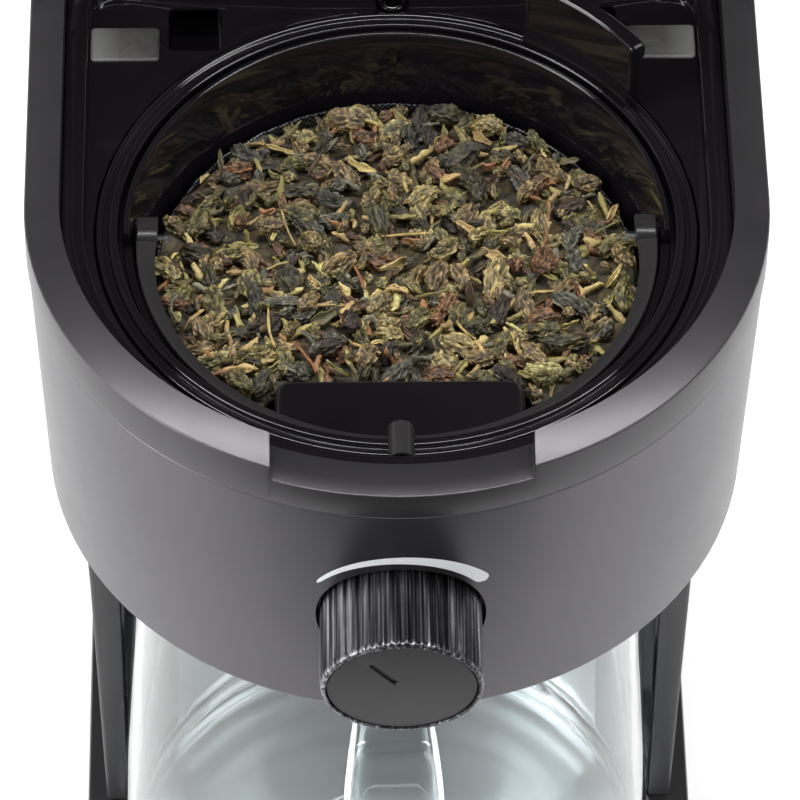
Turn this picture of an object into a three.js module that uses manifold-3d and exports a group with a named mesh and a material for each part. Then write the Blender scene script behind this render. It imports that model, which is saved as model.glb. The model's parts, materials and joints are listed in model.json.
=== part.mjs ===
// Iced tea maker: an open D-shaped brew head with a lift-out basket and tea filter, a glass jug under it,
// a column behind the jug and a removable water tank at the back.
// Millimetres, +Z up, +X to the right seen from the front, +Y to the back.
// Everything is drawn about the upright brew axis, and the whole model is centred over its footprint.
import * as THREE from 'three';
import { mergeVertices } from 'three/addons/utils/BufferGeometryUtils.js';
import Module from 'manifold-3d';

const wasm = await Module();
wasm.setup();

// Whole machine
const HEAD_HALF_WIDTH = 95;
const HEAD_REAR_ROOM = 17;
const HEAD_BACK = HEAD_HALF_WIDTH + HEAD_REAR_ROOM;
const RIM_HEIGHT = 312;
const BASKET_DEPTH = 80;
const HEAD_FLOOR_ROOM = 13;
const HEAD_DROP = BASKET_DEPTH + HEAD_FLOOR_ROOM;
const HEAD_TAPER = 3.5;
const HEAD_CORNER = 14;
const SHELL_WALL = 2.6;
const COLUMN_INSET = 7;
const COLUMN_HALF_WIDTH = HEAD_HALF_WIDTH - COLUMN_INSET;
const BASE_HEIGHT = 26;
const BASE_REAR_MARGIN = 1.5;

// Clearances
const FIT = 0.3;
const RUN = 0.6;
const OVERRUN = 6;

// Rim of the head
const BAND_HEIGHT = 12.3;
const SEAM = 0.6;
const RIM_WIDTH = 9;
const RIM_RISE = 2.5;
const RIM_LIP_WALL = 2;
const RIM_LIP_DEPTH = 7.5;
const RIM_WEB = 1.7;
const TONGUE_HEIGHT = 3.5;
const TONGUE_WALL = 2.1;
const NOTCH_WIDTH = 65;
const NOTCH_DEPTH = 4.2;
const NOTCH_REACH = 10.6;
const NOTCH_FLOOR = 1.4;
const NOTCH_CHEEK = 2;

// Liner of the head
const LEDGE_WIDTH = 6;
const WELL_HALF = HEAD_HALF_WIDTH - RIM_WIDTH - LEDGE_WIDTH;
const WELL_REAR_ROOM = 29;
const WELL_BACK = HEAD_BACK - WELL_REAR_ROOM;
const WELL_CORNER = 8;
const WELL_DEPTH = 22;
const LEDGE_DEPTH = 6;
const LEDGE_GAP = 0.4;
const FLANGE_REACH = 3.4;
const LINER_WALL = 2;
const CUP_SHOULDER = 5.5;
const CUP_RADIUS = WELL_HALF - CUP_SHOULDER;
const CUP_FLOOR_GAP = 4;
const CUP_DEPTH = BASKET_DEPTH + CUP_FLOOR_GAP;
const CUP_DRAIN_RADIUS = 22;
const KEY_HALF = 18.6;
const KEY_REACH = 5.3;
const KEY_RADIUS = CUP_RADIUS + KEY_REACH;
const SLOT_WIDTH = 13.5;
const SLOT_HEIGHT = 9.5;
const SLOT_INSET = 27;
const SLOT_CENTRE = WELL_HALF - SLOT_INSET;
const SLOT_LIFT = 1;

// Underside plate and water outlet
const UNDERSIDE_INSET = 3;
const UNDERSIDE_THICKNESS = 2.4;
const UNDERSIDE_HOLE = 24;
const HOSE_SLOT_HALF = 44;
const HOSE_SLOT_REAR = 6;
const HOSE_SLOT_BACK = HEAD_BACK - HOSE_SLOT_REAR;
const HOSE_SLOT_DEPTH = 17;
const HOSE_SLOT_FRONT = HOSE_SLOT_BACK - HOSE_SLOT_DEPTH;
const OUTLET_DEPTH = 12;
const OUTLET_RADIUS = 3.2;
const OUTLET_BORE = 2;
const OUTLET_COLLAR = 4.6;
const OUTLET_PROUD = 2.4;
const OUTLET_TAIL = 10;

// Brew lid and its hinge
const LID_GAP = 1;
const LID_WALL_HEIGHT = 10;
const LID_ROUND_WIDTH = 16;
const LID_ROUND_HEIGHT = 12;
const LID_CROWN = 2;
const LID_CROWN_HALF = 30;
const LID_WALL = 2.4;
const LID_DRAFT = 1;
const LID_REAR_ROOM = 24;
const LID_BACK = HEAD_BACK - LID_REAR_ROOM;
const LID_TAB_DEPTH = 3.4;
const LID_TAB_THICKNESS = 8.5;
const HINGE_OFFSET = 5.5;
const HINGE_BACK = LID_BACK + HINGE_OFFSET;
const HINGE_LIFT = 7.5;
const HINGE_EYE = 4.5;
const HINGE_PIN_RADIUS = 2;
const HINGE_INSET = 37;
const HINGE_CENTRE = HEAD_HALF_WIDTH - HINGE_INSET;
const HINGE_ARM = 7.4;
const HINGE_EAR = 4;
const SPREADER_MARGIN = 22;
const SPREADER_RADIUS = WELL_HALF - SPREADER_MARGIN;
const SPREADER_DEPTH = 4;
const SPREADER_WALL = 1.6;
const SPREADER_POST_RADIUS = 3.2;
const SPREADER_POST_INSET = 18;
const SPREADER_POST_CENTRE = SPREADER_RADIUS - SPREADER_POST_INSET;
const SPREADER_HOLE_RADIUS = 2;
const SPREADER_HOLE_CIRCLE = 26;
const SPREADER_HOLES = 12;
const SPREADER_LIFT = 5;

// Strength knob; distances along its axis count outward from the front panel
const KNOB_RISE = 37.5;
const KNOB_DEPTH = HEAD_DROP - KNOB_RISE;
const KNOB_TILT = (6.7 * Math.PI) / 180;
const KNOB_RADIUS = 20;
const KNOB_REACH = 19.7;
const KNOB_SUNK = 5;
const KNOB_FLUTES = 30;
const KNOB_FLUTE_DEPTH = 0.7;
const KNOB_WALL = 3;
const KNOB_FRONT = 4;
const KNOB_CHAMFER = 0.9;
const KNOB_HUB = 7;
const KNOB_OPENING = 21.5;
const KNOB_REST = (-36 * Math.PI) / 180;
const FACE_RADIUS = 17.6;
const FACE_THICKNESS = 1.2;
const FACE_RECESS = 0.4;
const MARK_WIDTH = 1.5;
const MARK_DEPTH = 0.5;
const MARK_INNER = 4.5;
const MARK_OUTER = 13;
const SHAFT_RADIUS = 4;
const SHAFT_END = 15.6;
const TONGUE_REACH = 3;
const TONGUE_WIDTH = 3;
const TONGUE_HALF = 6;
const BEZEL_RADIUS = 23.2;
const BEZEL_SUNK = 6.3;
const BEZEL_THICKNESS = 2;
const BEZEL_BUSH_RADIUS = 7;
const BEZEL_BUSH_LENGTH = 1.6;
const CLIP_RADIUS = 6.4;
const CLIP_THICKNESS = 1;
const CLIP_SEAT = 14.2;

// Bypass shutter
const SHUTTER_RADIUS = 15.5;
const SHUTTER_FRONT = 16.5;
const SHUTTER_THICKNESS = 3.5;
const SHUTTER_SLOT_DEPTH = 2.6;
const SHUTTER_STUB_RADIUS = 2.6;
const SHUTTER_STUB_LENGTH = 3.6;
const SHUTTER_PORT_RADIUS = 2.6;
const SHUTTER_PORT_CIRCLE = 10.5;
const SHUTTER_PORT_ANGLES = [0.62, 0.95, 1.28].map((share) => share * Math.PI);

// Brew basket
const BASKET_FLANGE_GAP = 3;
const BASKET_FLANGE_RADIUS = WELL_HALF - BASKET_FLANGE_GAP;
const BASKET_FLANGE_DEPTH = 12.5;
const BASKET_FLANGE_THICKNESS = 2;
const BASKET_SKIRT_WALL = 1.6;
const BASKET_RIDGE_DEPTH = 10.3;
const BASKET_FLANGE_WIDTH = 5.4;
const BASKET_RIDGE_OUTER = BASKET_FLANGE_RADIUS - BASKET_FLANGE_WIDTH;
const BASKET_RIDGE_WIDTH = 2.2;
const BASKET_RIDGE_INNER = BASKET_RIDGE_OUTER - BASKET_RIDGE_WIDTH;
const BASKET_SEAT_DEPTH = 14;
const BASKET_SEAT_WIDTH = 2.6;
const BASKET_SEAT_INNER = BASKET_RIDGE_INNER - BASKET_SEAT_WIDTH;
const BASKET_WALL = 2.2;
const BASKET_DRAFT = 5.8;
const BASKET_FOOT_INNER = BASKET_SEAT_INNER - BASKET_DRAFT;
const BASKET_FLOOR = 2.4;
const BASKET_FUNNEL = 4;
const SPOUT_RADIUS = 9;
const SPOUT_BORE = 6;
const SPOUT_DROP = 12;
const BOSS_RADIUS = 16;
const GRIP_INNER_GAP = 0.8;
const GRIP_INNER = BASKET_RIDGE_OUTER + GRIP_INNER_GAP;
const GRIP_WALL = 4;
const GRIP_OUTER = GRIP_INNER + GRIP_WALL;
const GRIP_OVERHANG = 5;
const GRIP_CAP_OUTER = GRIP_OUTER + GRIP_OVERHANG;
const GRIP_CAP_HEIGHT = 5;
const GRIP_TOP = 12;
const GRIP_START = (34 * Math.PI) / 180;
const GRIP_END = (62 * Math.PI) / 180;

// Tea filter
const FILTER_LIP_GAP = 0.5;
const FILTER_LIP_RADIUS = BASKET_RIDGE_INNER - FILTER_LIP_GAP;
const FILTER_LIP_DEPTH = 11.7;
const FILTER_LIP_THICKNESS = 2;
const FILTER_GAP = 0.4;
const FILTER_RADIUS = BASKET_SEAT_INNER - FILTER_GAP;
const FILTER_FOOT_GAP = 0.8;
const FILTER_FOOT_RADIUS = BASKET_FOOT_INNER - FILTER_FOOT_GAP;
const FILTER_FLOOR_GAP = 7;
const FILTER_DEPTH = BASKET_DEPTH - FILTER_FLOOR_GAP;
const FILTER_WALL = 1.6;
const FILTER_FLOOR = 2;
const WINDOW_COUNT = 8;
const WINDOW_TOP = 34;
const WINDOW_MARGIN = 5;
const WINDOW_BOTTOM = FILTER_DEPTH - WINDOW_MARGIN;
const WINDOW_HALF = 17;
const FLOOR_WINDOW_INNER = 14;
const FLOOR_WINDOW_MARGIN = 10.2;
const FLOOR_WINDOW_OUTER = FILTER_FOOT_RADIUS - FLOOR_WINDOW_MARGIN;
const POCKET_HALF = 31.5;
const POCKET_REACH = 20.2;
const POCKET_BACK = FILTER_RADIUS - POCKET_REACH;
const POCKET_DEPTH = 16;
const POCKET_CORNER = 4;
const MESH_THICKNESS = 0.5;
const MESH_TOP = 30;
const BAIL_GAP = 2.5;
const BAIL_OUTER = FILTER_RADIUS - BAIL_GAP;
const BAIL_WIDTH = 4.4;
const BAIL_INNER = BAIL_OUTER - BAIL_WIDTH;
const BAIL_DEPTH = 12.2;
const BAIL_THICKNESS = 2.4;
const BAIL_TAIL = 4;
const BAIL_TAB_HALF = 3.2;
const BAIL_TAB_REACH = 10.5;
const BAIL_TAB_RISE = 2.4;
const BAIL_TAB_WALL = 1.2;
const BAIL_PIN_RADIUS = 0.9;
const BAIL_PIN_HOLE = 1.2;
const BAIL_PIN_DEPTH = 13.6;
const BAIL_EYE_RADIUS = 2.8;

// Tea in the filter
const TEA_TOP = 27;
const TEA_SLOPE = (-5.5 * Math.PI) / 180;
const TEA_GAP = 0.6;

// Jug
const RECESS_MARGIN = 6;
const RECESS_RADIUS = COLUMN_HALF_WIDTH - RECESS_MARGIN;
const REST_GAP = 2;
const REST_RADIUS = RECESS_RADIUS - REST_GAP;
const JUG_MARGIN = 3;
const JUG_FOOT_RADIUS = REST_RADIUS - JUG_MARGIN;
const JUG_TAPER = 9.5;
const JUG_SHOULDER_RADIUS = JUG_FOOT_RADIUS - JUG_TAPER;
const JUG_WAIST_TAPER = 2.6;
const JUG_WAIST_RADIUS = JUG_FOOT_RADIUS - JUG_WAIST_TAPER;
const JUG_WAIST_SHARE = 0.19;
const JUG_MID_TAPER = 7;
const JUG_MID_RADIUS = JUG_FOOT_RADIUS - JUG_MID_TAPER;
const JUG_MID_SHARE = 0.63;
const JUG_WALL = 3;
const JUG_FLOOR = 5;
const JUG_CORNER = 6;
const JUG_HEAD_GAP = 9;
const JUG_TOP = RIM_HEIGHT - HEAD_DROP - JUG_HEAD_GAP;
const HANDLE_WIDTH = 20;
const HANDLE_BULGE = 26;
const HANDLE_THICKNESS = 9;
const HANDLE_STANDOFF = 29;
const HANDLE_REACH = JUG_FOOT_RADIUS + HANDLE_STANDOFF;
const HANDLE_TOP_DROP = 6;
const HANDLE_FOOT_HEIGHT = 60;
const HANDLE_GRIP_HEIGHT = 88;
const HANDLE_BULGE_SHARE = 0.22;
const HANDLE_SPREAD_SHARE = 0.1;
const JUG_LID_FLANGE = 2.4;
const JUG_LID_CROWN = 3;
const JUG_LID_PLUG = 9;
const JUG_LID_WALL = 2;
const JUG_LID_HOLE = 11;
const POUR_SLOTS = 3;
const POUR_SLOT_WIDTH = 6;
const POUR_SLOT_PITCH = 9;
const BEAK_REACH = 8;
const BEAK_HALF = 17;
const BEAK_TIP_HALF = 4;
const BEAK_DROP = 24;
const REST_THICKNESS = 2.1;
const REST_RECESS = 1.2;

// Column
const PILLAR_FRONT = 26;
const COLUMN_WALL = 2.6;
const PANEL_SIDE_MARGIN = 16;
const PANEL_HALF = COLUMN_HALF_WIDTH - PANEL_SIDE_MARGIN;
const PANEL_OVERLAP = 3;
const PANEL_FOOT = 40;
const PANEL_TOP_MARGIN = 14;
const PANEL_HEIGHT = RIM_HEIGHT - HEAD_DROP - PANEL_TOP_MARGIN - PANEL_FOOT;
const PANEL_THICKNESS = 2;

// Water tank, its lid and its valve
const TANK_INSET = 2;
const TANK_HALF = COLUMN_HALF_WIDTH - TANK_INSET;
const TANK_FRONT_GAP = 2.5;
const TANK_DEPTH = 72;
const TANK_CORNER = 22;
const TANK_FRONT_CORNER = 6;
const TANK_WALL = 2.4;
const TANK_DROP = 30;
const TANK_TOP = RIM_HEIGHT - TANK_DROP;
const TANK_LID_HEIGHT = 8;
const TANK_LID_SKIRT = 5;
const TANK_LID_ROUND = 3;
const TANK_EAR_CENTRE = 30;
const TANK_EAR_WIDTH = 5;
const TANK_EAR_RADIUS = 4;
const TANK_PIN_RADIUS = 1.6;
const TANK_TAB_HALF = 14;
const TANK_TAB_REACH = 1.6;
const VALVE_PAD_RADIUS = 20;
const VALVE_RECESS_RADIUS = 17.5;
const VALVE_RECESS_HEIGHT = 8;
const VALVE_HOLE_RADIUS = 6.6;
const VALVE_HEAD_RADIUS = 6;
const VALVE_HEAD_HEIGHT = 2;
const VALVE_STEM_RADIUS = 1.8;
const VALVE_STEM_LENGTH = 4.6;
const VALVE_TRAVEL = 4;
const VALVE_SPRING_RADIUS = 4.4;
const VALVE_SPRING_WIRE = 0.9;
const VALVE_SPRING_HEIGHT = 5;
const CAGE_RADIUS = 11;
const CAGE_WALL = 1.8;
const CAGE_WINDOWS = 4;
const CAGE_WINDOW_HALF = 2.6;
const SEAL_BORE = 3.2;
const DOCK_RADIUS = 16.5;
const DOCK_HEIGHT = 5.4;
const DOCK_WALL = 2;
const DOCK_PIN_RADIUS = 2.2;
const DOCK_SOCKET_RADIUS = 8;
const DOCK_FLOOR_GAP = 8;
const DOCK_SOCKET_DEPTH = BASE_HEIGHT - DOCK_FLOOR_GAP;
const DOCK_DRAIN_RISE = 5;
const DOCK_DRAIN_DEPTH = DOCK_SOCKET_DEPTH - DOCK_DRAIN_RISE;
const DOCK_BORE = 3;

// Base
const BASE_WALL = 2.6;
const FOOT_HEIGHT = 4;
const FOOT_RADIUS = 9;
const FOOT_STUB = 4;
const FOOT_INSET = 26;
const FOOT_FRONT = COLUMN_HALF_WIDTH / 2;
const COVER_THICKNESS = 2.4;
const BUTTON_RADIUS = 8;
const BUTTON_HEIGHT = 14.5;
const BUTTON_PROUD = 2.4;
const BUTTON_LENGTH = 6;
const BUTTON_STEM_RADIUS = 2.4;
const BUTTON_STEM_LENGTH = 4;
const BUTTON_TRAVEL = 1.5;
const SWITCH_WIDTH = 14;
const SWITCH_DEPTH = 12;
const SWITCH_HEIGHT = 11;
const GLAND_RADIUS = 7;
const GLAND_BORE = 3.6;
const GLAND_PROUD = 5;
const GLAND_INSET = 30;
const GLAND_CENTRE = GLAND_INSET - COLUMN_HALF_WIDTH;
const HOSE_HOLE_HALF = 50;

// Boiler and hoses in the column
const BOILER_RADIUS = 7;
const BOILER_SPACING = 27;
const BOILER_FOOT = 62;
const BOILER_TOP_GAP = 69;
const BOILER_TOP = RIM_HEIGHT - HEAD_DROP - BOILER_TOP_GAP;
const BOILER_REAR_GAP = 16.4;
const BOILER_Y = HEAD_BACK - BOILER_REAR_GAP;
const BRACKET_HALF = 38;
const BRACKET_HEIGHT = 12;
const BRACKET_THICKNESS = 1.6;
const THERMOSTAT_RADIUS = 7.5;
const THERMOSTAT_THICKNESS = 5;
const FUSE_RADIUS = 3;
const FUSE_LENGTH = 24;
const HOSE_RADIUS = 4.6;
const CHECK_RADIUS = 6.2;
const CHECK_LENGTH = 20;

// How finely curves are drawn
const WIDE_STEPS = 32;
const FRONT_STEPS = WIDE_STEPS / 2;
const CORNER_STEPS = 3;
const SMALL_STEPS = 12;
const ROUND_STEPS = 3;
const WELD = 1e-4;
const SHARP = WELD;

// Heights worked out from the sizes above
const below = (depth) => RIM_HEIGHT - depth;
const HEAD_BOTTOM = below(HEAD_DROP);
const SHELL_TOP = below(BAND_HEIGHT + SEAM);
const OPENING_HALF = HEAD_HALF_WIDTH - RIM_WIDTH;
const LEDGE_HALF = OPENING_HALF - LEDGE_GAP;
const OPENING_BACK = WELL_BACK + LINER_WALL + RUN;
const BAND_INNER = HEAD_HALF_WIDTH - SHELL_WALL;
const BAND_INNER_BACK = HEAD_BACK - SHELL_WALL;
const UNDERSIDE_BOTTOM = HEAD_BOTTOM + UNDERSIDE_INSET;
const COLUMN_TOP = UNDERSIDE_BOTTOM - FIT;
const COLUMN_FOOT = BASE_HEIGHT + FIT;
const COLUMN_BACK = HEAD_BACK - SHELL_WALL - RUN;
const COLUMN_CORNER = HEAD_CORNER;
const TANK_FRONT = HEAD_BACK + TANK_FRONT_GAP;
const TANK_BACK = TANK_FRONT + TANK_DEPTH;
const TANK_MIDDLE = TANK_FRONT + TANK_DEPTH / 2;
const TANK_FOOT = BASE_HEIGHT + FIT;
const BASE_BACK = TANK_BACK + BASE_REAR_MARGIN;
const REST_FOOT = BASE_HEIGHT - REST_RECESS + FIT;
const JUG_FOOT = REST_FOOT + REST_THICKNESS + FIT;
const HINGE_HEIGHT = RIM_HEIGHT + HINGE_LIFT;
const LID_FOOT = RIM_HEIGHT + LID_GAP;

// Turns a closed geometry into a solid: shared corners merged, empty faces dropped, faces pointing out
function solidOf(geometry) {
  const bare = new THREE.BufferGeometry();
  bare.setAttribute('position', geometry.getAttribute('position'));
  if (geometry.index) bare.setIndex(geometry.index);
  const welded = mergeVertices(bare, WELD);
  const corners = welded.getAttribute('position').array;
  const faces = [];
  let volume = 0;
  for (let i = 0; i < welded.index.count; i += 3) {
    const face = [0, 1, 2].map((n) => welded.index.getX(i + n));
    if (new Set(face).size < face.length) continue;
    const [a, b, c] = face.map((n) => new THREE.Vector3().fromArray(corners, 3 * n));
    volume += a.dot(b.cross(c));
    faces.push(face);
  }
  const order = volume < 0 ? faces.map((face) => [...face].reverse()) : faces;
  const mesh = new wasm.Mesh({
    numProp: 3,
    vertProperties: new Float32Array(corners),
    triVerts: new Uint32Array(order.flat()),
  });
  return new wasm.Manifold(mesh);
}

function geometryOf(solid) {
  const mesh = solid.getMesh();
  const geometry = new THREE.BufferGeometry();
  geometry.setAttribute('position', new THREE.BufferAttribute(new Float32Array(mesh.vertProperties), 3));
  geometry.setIndex([...mesh.triVerts]);
  geometry.computeVertexNormals();
  return geometry;
}

// Outline of a D: a half circle in front, straight sides and two rounded rear corners
function dOutline(half, back, corner = HEAD_CORNER) {
  const points = [];
  for (let i = 0; i <= FRONT_STEPS; i++) {
    const angle = Math.PI * (1 + i / FRONT_STEPS);
    points.push([half * Math.cos(angle), half * Math.sin(angle)]);
  }
  for (const side of [1, -1]) {
    for (let i = 0; i <= CORNER_STEPS; i++) {
      const turn = (Math.PI / 2) * (i / CORNER_STEPS);
      const angle = side > 0 ? turn : Math.PI / 2 + turn;
      const x = side * (half - corner) + corner * Math.cos(angle);
      points.push([x, back - corner + corner * Math.sin(angle)]);
    }
  }
  return points;
}

// Outline of a box in plan with its own radius at the front and the rear corners
function boxOutline(half, front, back, frontCorner, backCorner) {
  const corners = [
    [-half + frontCorner, front + frontCorner, frontCorner, Math.PI],
    [half - frontCorner, front + frontCorner, frontCorner, 1.5 * Math.PI],
    [half - backCorner, back - backCorner, backCorner, 0],
    [-half + backCorner, back - backCorner, backCorner, Math.PI / 2],
  ];
  return corners.flatMap(([x, y, radius, start]) =>
    Array.from({ length: CORNER_STEPS + 1 }, (_, i) => {
      const angle = start + (Math.PI / 2) * (i / CORNER_STEPS);
      return [x + radius * Math.cos(angle), y + radius * Math.sin(angle)];
    }),
  );
}

// Solid through a stack of outlines with the same number of points
function loft(sections) {
  const count = sections[0].points.length;
  const positions = sections.flatMap(({ points, z }) => points.flatMap(([x, y]) => [x, y, z]));
  const index = [];
  for (let level = 0; level < sections.length - 1; level++) {
    for (let i = 0; i < count; i++) {
      const a = level * count + i;
      const b = level * count + ((i + 1) % count);
      index.push(a, b, b + count, a, b + count, a + count);
    }
  }
  const flat = sections[0].points.map(([x, y]) => new THREE.Vector2(x, y));
  const top = (sections.length - 1) * count;
  for (const [a, b, c] of THREE.ShapeUtils.triangulateShape(flat, [])) {
    index.push(c, b, a, top + a, top + b, top + c);
  }
  const geometry = new THREE.BufferGeometry();
  geometry.setAttribute('position', new THREE.Float32BufferAttribute(positions, 3));
  geometry.setIndex(index);
  return solidOf(geometry);
}

const prism = (points, low, high) => loft([{ points, z: low }, { points, z: high }]);

// Solid of revolution about the brew axis, or the local Z axis, from a closed profile of [radius, height]
function revolve(profile, steps = WIDE_STEPS) {
  const points = [...profile, profile[0]].map(([radius, z]) => new THREE.Vector2(radius, z));
  return solidOf(new THREE.LatheGeometry(points, steps).rotateX(Math.PI / 2));
}

function rod(radius, low, high, steps = SMALL_STEPS) {
  return revolve([[0, low], [radius, low], [radius, high], [0, high]], steps);
}

function tube(outer, inner, low, high, steps = SMALL_STEPS) {
  return revolve([[inner, low], [outer, low], [outer, high], [inner, high]], steps);
}

function block(x0, x1, y0, y1, z0, z1) {
  const geometry = new THREE.BoxGeometry(x1 - x0, y1 - y0, z1 - z0);
  geometry.translate((x0 + x1) / 2, (y0 + y1) / 2, (z0 + z1) / 2);
  return solidOf(geometry);
}

// A solid moved by a placement
function moved(solid, matrix) {
  return solidOf(geometryOf(solid).applyMatrix4(matrix));
}

const shift = (x, y, z) => new THREE.Matrix4().makeTranslation(x, y, z);
const aboutZ = (angle) => new THREE.Matrix4().makeRotationZ(angle);
const alongX = (x, y, z) => shift(x, y, z).multiply(new THREE.Matrix4().makeRotationY(Math.PI / 2));
const alongY = (x, y, z) => shift(x, y, z).multiply(new THREE.Matrix4().makeRotationX(-Math.PI / 2));
const joined = (solids) => solids.reduce((whole, solid) => whole.add(solid));

// Round tube along a smooth line through points, as an extruded circle
function hose(points, radius, steps) {
  const circle = new THREE.Shape();
  circle.absarc(0, 0, radius, 0, 2 * Math.PI, false);
  const stops = points.map((point) => new THREE.Vector3(...point));
  const path = new THREE.CatmullRomCurve3(stops, false, 'centripetal');
  const settings = { steps, extrudePath: path, curveSegments: CORNER_STEPS };
  return solidOf(new THREE.ExtrudeGeometry(circle, settings));
}

// Placement on the knob's tilted axis: local Z points out of the panel and local Y up along it
const PANEL_RADIUS = HEAD_HALF_WIDTH - (HEAD_TAPER * KNOB_DEPTH) / HEAD_DROP;
const KNOB_PLACE = shift(0, -PANEL_RADIUS, below(KNOB_DEPTH)).multiply(
  new THREE.Matrix4().makeRotationX(Math.PI / 2 + KNOB_TILT),
);
const onKnobAxis = (solid) => moved(solid, KNOB_PLACE);

// Everything in front that lies between two half widths of the D, within the finger notch's width
function frontBand(outer, inner, half, low, high) {
  const band = prism(dOutline(outer, OPENING_BACK), low, high).subtract(
    prism(dOutline(inner, OPENING_BACK), low - OVERRUN, high + OVERRUN),
  );
  return band.intersect(block(-half, half, -outer - OVERRUN, -inner / 2, low, high));
}

function headShell() {
  const foot = HEAD_HALF_WIDTH - HEAD_TAPER;
  const body = loft([
    { points: dOutline(foot, HEAD_BACK), z: HEAD_BOTTOM },
    { points: dOutline(HEAD_HALF_WIDTH - FIT, HEAD_BACK), z: SHELL_TOP },
  ]);
  const hollow = loft([
    { points: dOutline(foot - SHELL_WALL, BAND_INNER_BACK), z: HEAD_BOTTOM - FIT },
    { points: dOutline(BAND_INNER - FIT, BAND_INNER_BACK), z: SHELL_TOP + FIT },
  ]);
  const half = BAND_INNER - FIT;
  const back = BAND_INNER_BACK - FIT;
  const tongue = prism(dOutline(half, back), SHELL_TOP - TONGUE_HEIGHT, SHELL_TOP + TONGUE_HEIGHT);
  const thick = prism(dOutline(half + RUN, back + RUN), SHELL_TOP - TONGUE_HEIGHT, SHELL_TOP);
  const inner = dOutline(half - TONGUE_WALL, back - TONGUE_WALL);
  const room = prism(inner, SHELL_TOP - TONGUE_HEIGHT - OVERRUN, SHELL_TOP + TONGUE_HEIGHT + OVERRUN);
  const opening = onKnobAxis(rod(KNOB_OPENING, -SHELL_WALL - OVERRUN, OVERRUN, WIDE_STEPS));
  return body.subtract(hollow).add(tongue.add(thick).subtract(room)).subtract(opening);
}

function headRim() {
  const outer = loft([
    { points: dOutline(HEAD_HALF_WIDTH, HEAD_BACK), z: below(BAND_HEIGHT) },
    { points: dOutline(HEAD_HALF_WIDTH, HEAD_BACK), z: RIM_HEIGHT },
    { points: dOutline(OPENING_HALF, HEAD_BACK - RIM_WIDTH), z: RIM_HEIGHT + RIM_RISE },
  ]);
  const lipHalf = OPENING_HALF + RIM_LIP_WALL;
  const lipBack = OPENING_BACK + RIM_LIP_WALL;
  const seatGap = 3 * RUN;
  const hollow = loft([
    { points: dOutline(BAND_INNER, BAND_INNER_BACK), z: below(BAND_HEIGHT + OVERRUN) },
    { points: dOutline(BAND_INNER, BAND_INNER_BACK), z: below(RIM_WEB) },
    { points: dOutline(lipHalf, HEAD_BACK - RIM_WIDTH), z: RIM_HEIGHT + RIM_RISE - 2 * RIM_WEB },
  ]).subtract(prism(dOutline(lipHalf, lipBack, WELL_CORNER), below(RIM_LIP_DEPTH), RIM_HEIGHT));
  const opening = prism(
    dOutline(OPENING_HALF, OPENING_BACK, WELL_CORNER), below(BAND_HEIGHT + OVERRUN), RIM_HEIGHT + OVERRUN,
  );
  const seatPlan = dOutline(HEAD_HALF_WIDTH + RUN, LID_BACK + RUN);
  const keptPlan = dOutline(HEAD_HALF_WIDTH - LID_WALL - seatGap, LID_BACK - LID_WALL - seatGap);
  const keptSeat = prism(keptPlan, RIM_HEIGHT, LID_FOOT + 2 * OVERRUN);
  const lidSeat = prism(seatPlan, LID_FOOT - FIT, LID_FOOT + OVERRUN).subtract(keptSeat);
  const notchInner = HEAD_HALF_WIDTH - NOTCH_REACH;
  const notchHalf = NOTCH_WIDTH / 2;
  const floorLow = below(NOTCH_DEPTH + NOTCH_FLOOR);
  const cheeks = frontBand(BAND_INNER + FIT, OPENING_HALF, notchHalf + NOTCH_CHEEK, floorLow, RIM_HEIGHT);
  const floorTop = below(NOTCH_DEPTH);
  const floor = frontBand(BAND_INNER + FIT, notchInner, notchHalf + NOTCH_CHEEK, floorLow, floorTop);
  const cutFront = -HEAD_HALF_WIDTH - OVERRUN;
  const notchFloor = below(NOTCH_DEPTH);
  const notch = block(-notchHalf, notchHalf, cutFront, -notchInner / 2, notchFloor, RIM_HEIGHT + OVERRUN);
  const ears = [-1, 1].flatMap((side) =>
    [-1, 1].map((hand) => hingeEar(side * HINGE_CENTRE + hand * (HINGE_ARM / 2 + RUN + HINGE_EAR / 2))),
  );
  return joined([outer.subtract(hollow).subtract(opening), cheeks, floor]).subtract(notch).subtract(lidSeat)
    .add(joined(ears));
}

// One upright ear of the lid's hinge, standing on the deck behind the opening
function hingeEar(x) {
  const half = HINGE_EAR / 2;
  const eye = moved(rod(HINGE_EYE, -half, half), alongX(x, HINGE_BACK, HINGE_HEIGHT));
  const root = RIM_HEIGHT + RIM_RISE - RIM_WEB;
  const [near, far] = [HINGE_BACK - HINGE_EYE, HINGE_BACK + HINGE_EYE];
  const foot = block(x - half, x + half, near, far, root, HINGE_HEIGHT);
  const drill = rod(HINGE_PIN_RADIUS + FIT, -HINGE_EAR, HINGE_EAR);
  const hole = moved(drill, alongX(x, HINGE_BACK, HINGE_HEIGHT));
  return eye.add(foot).subtract(hole);
}

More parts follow.
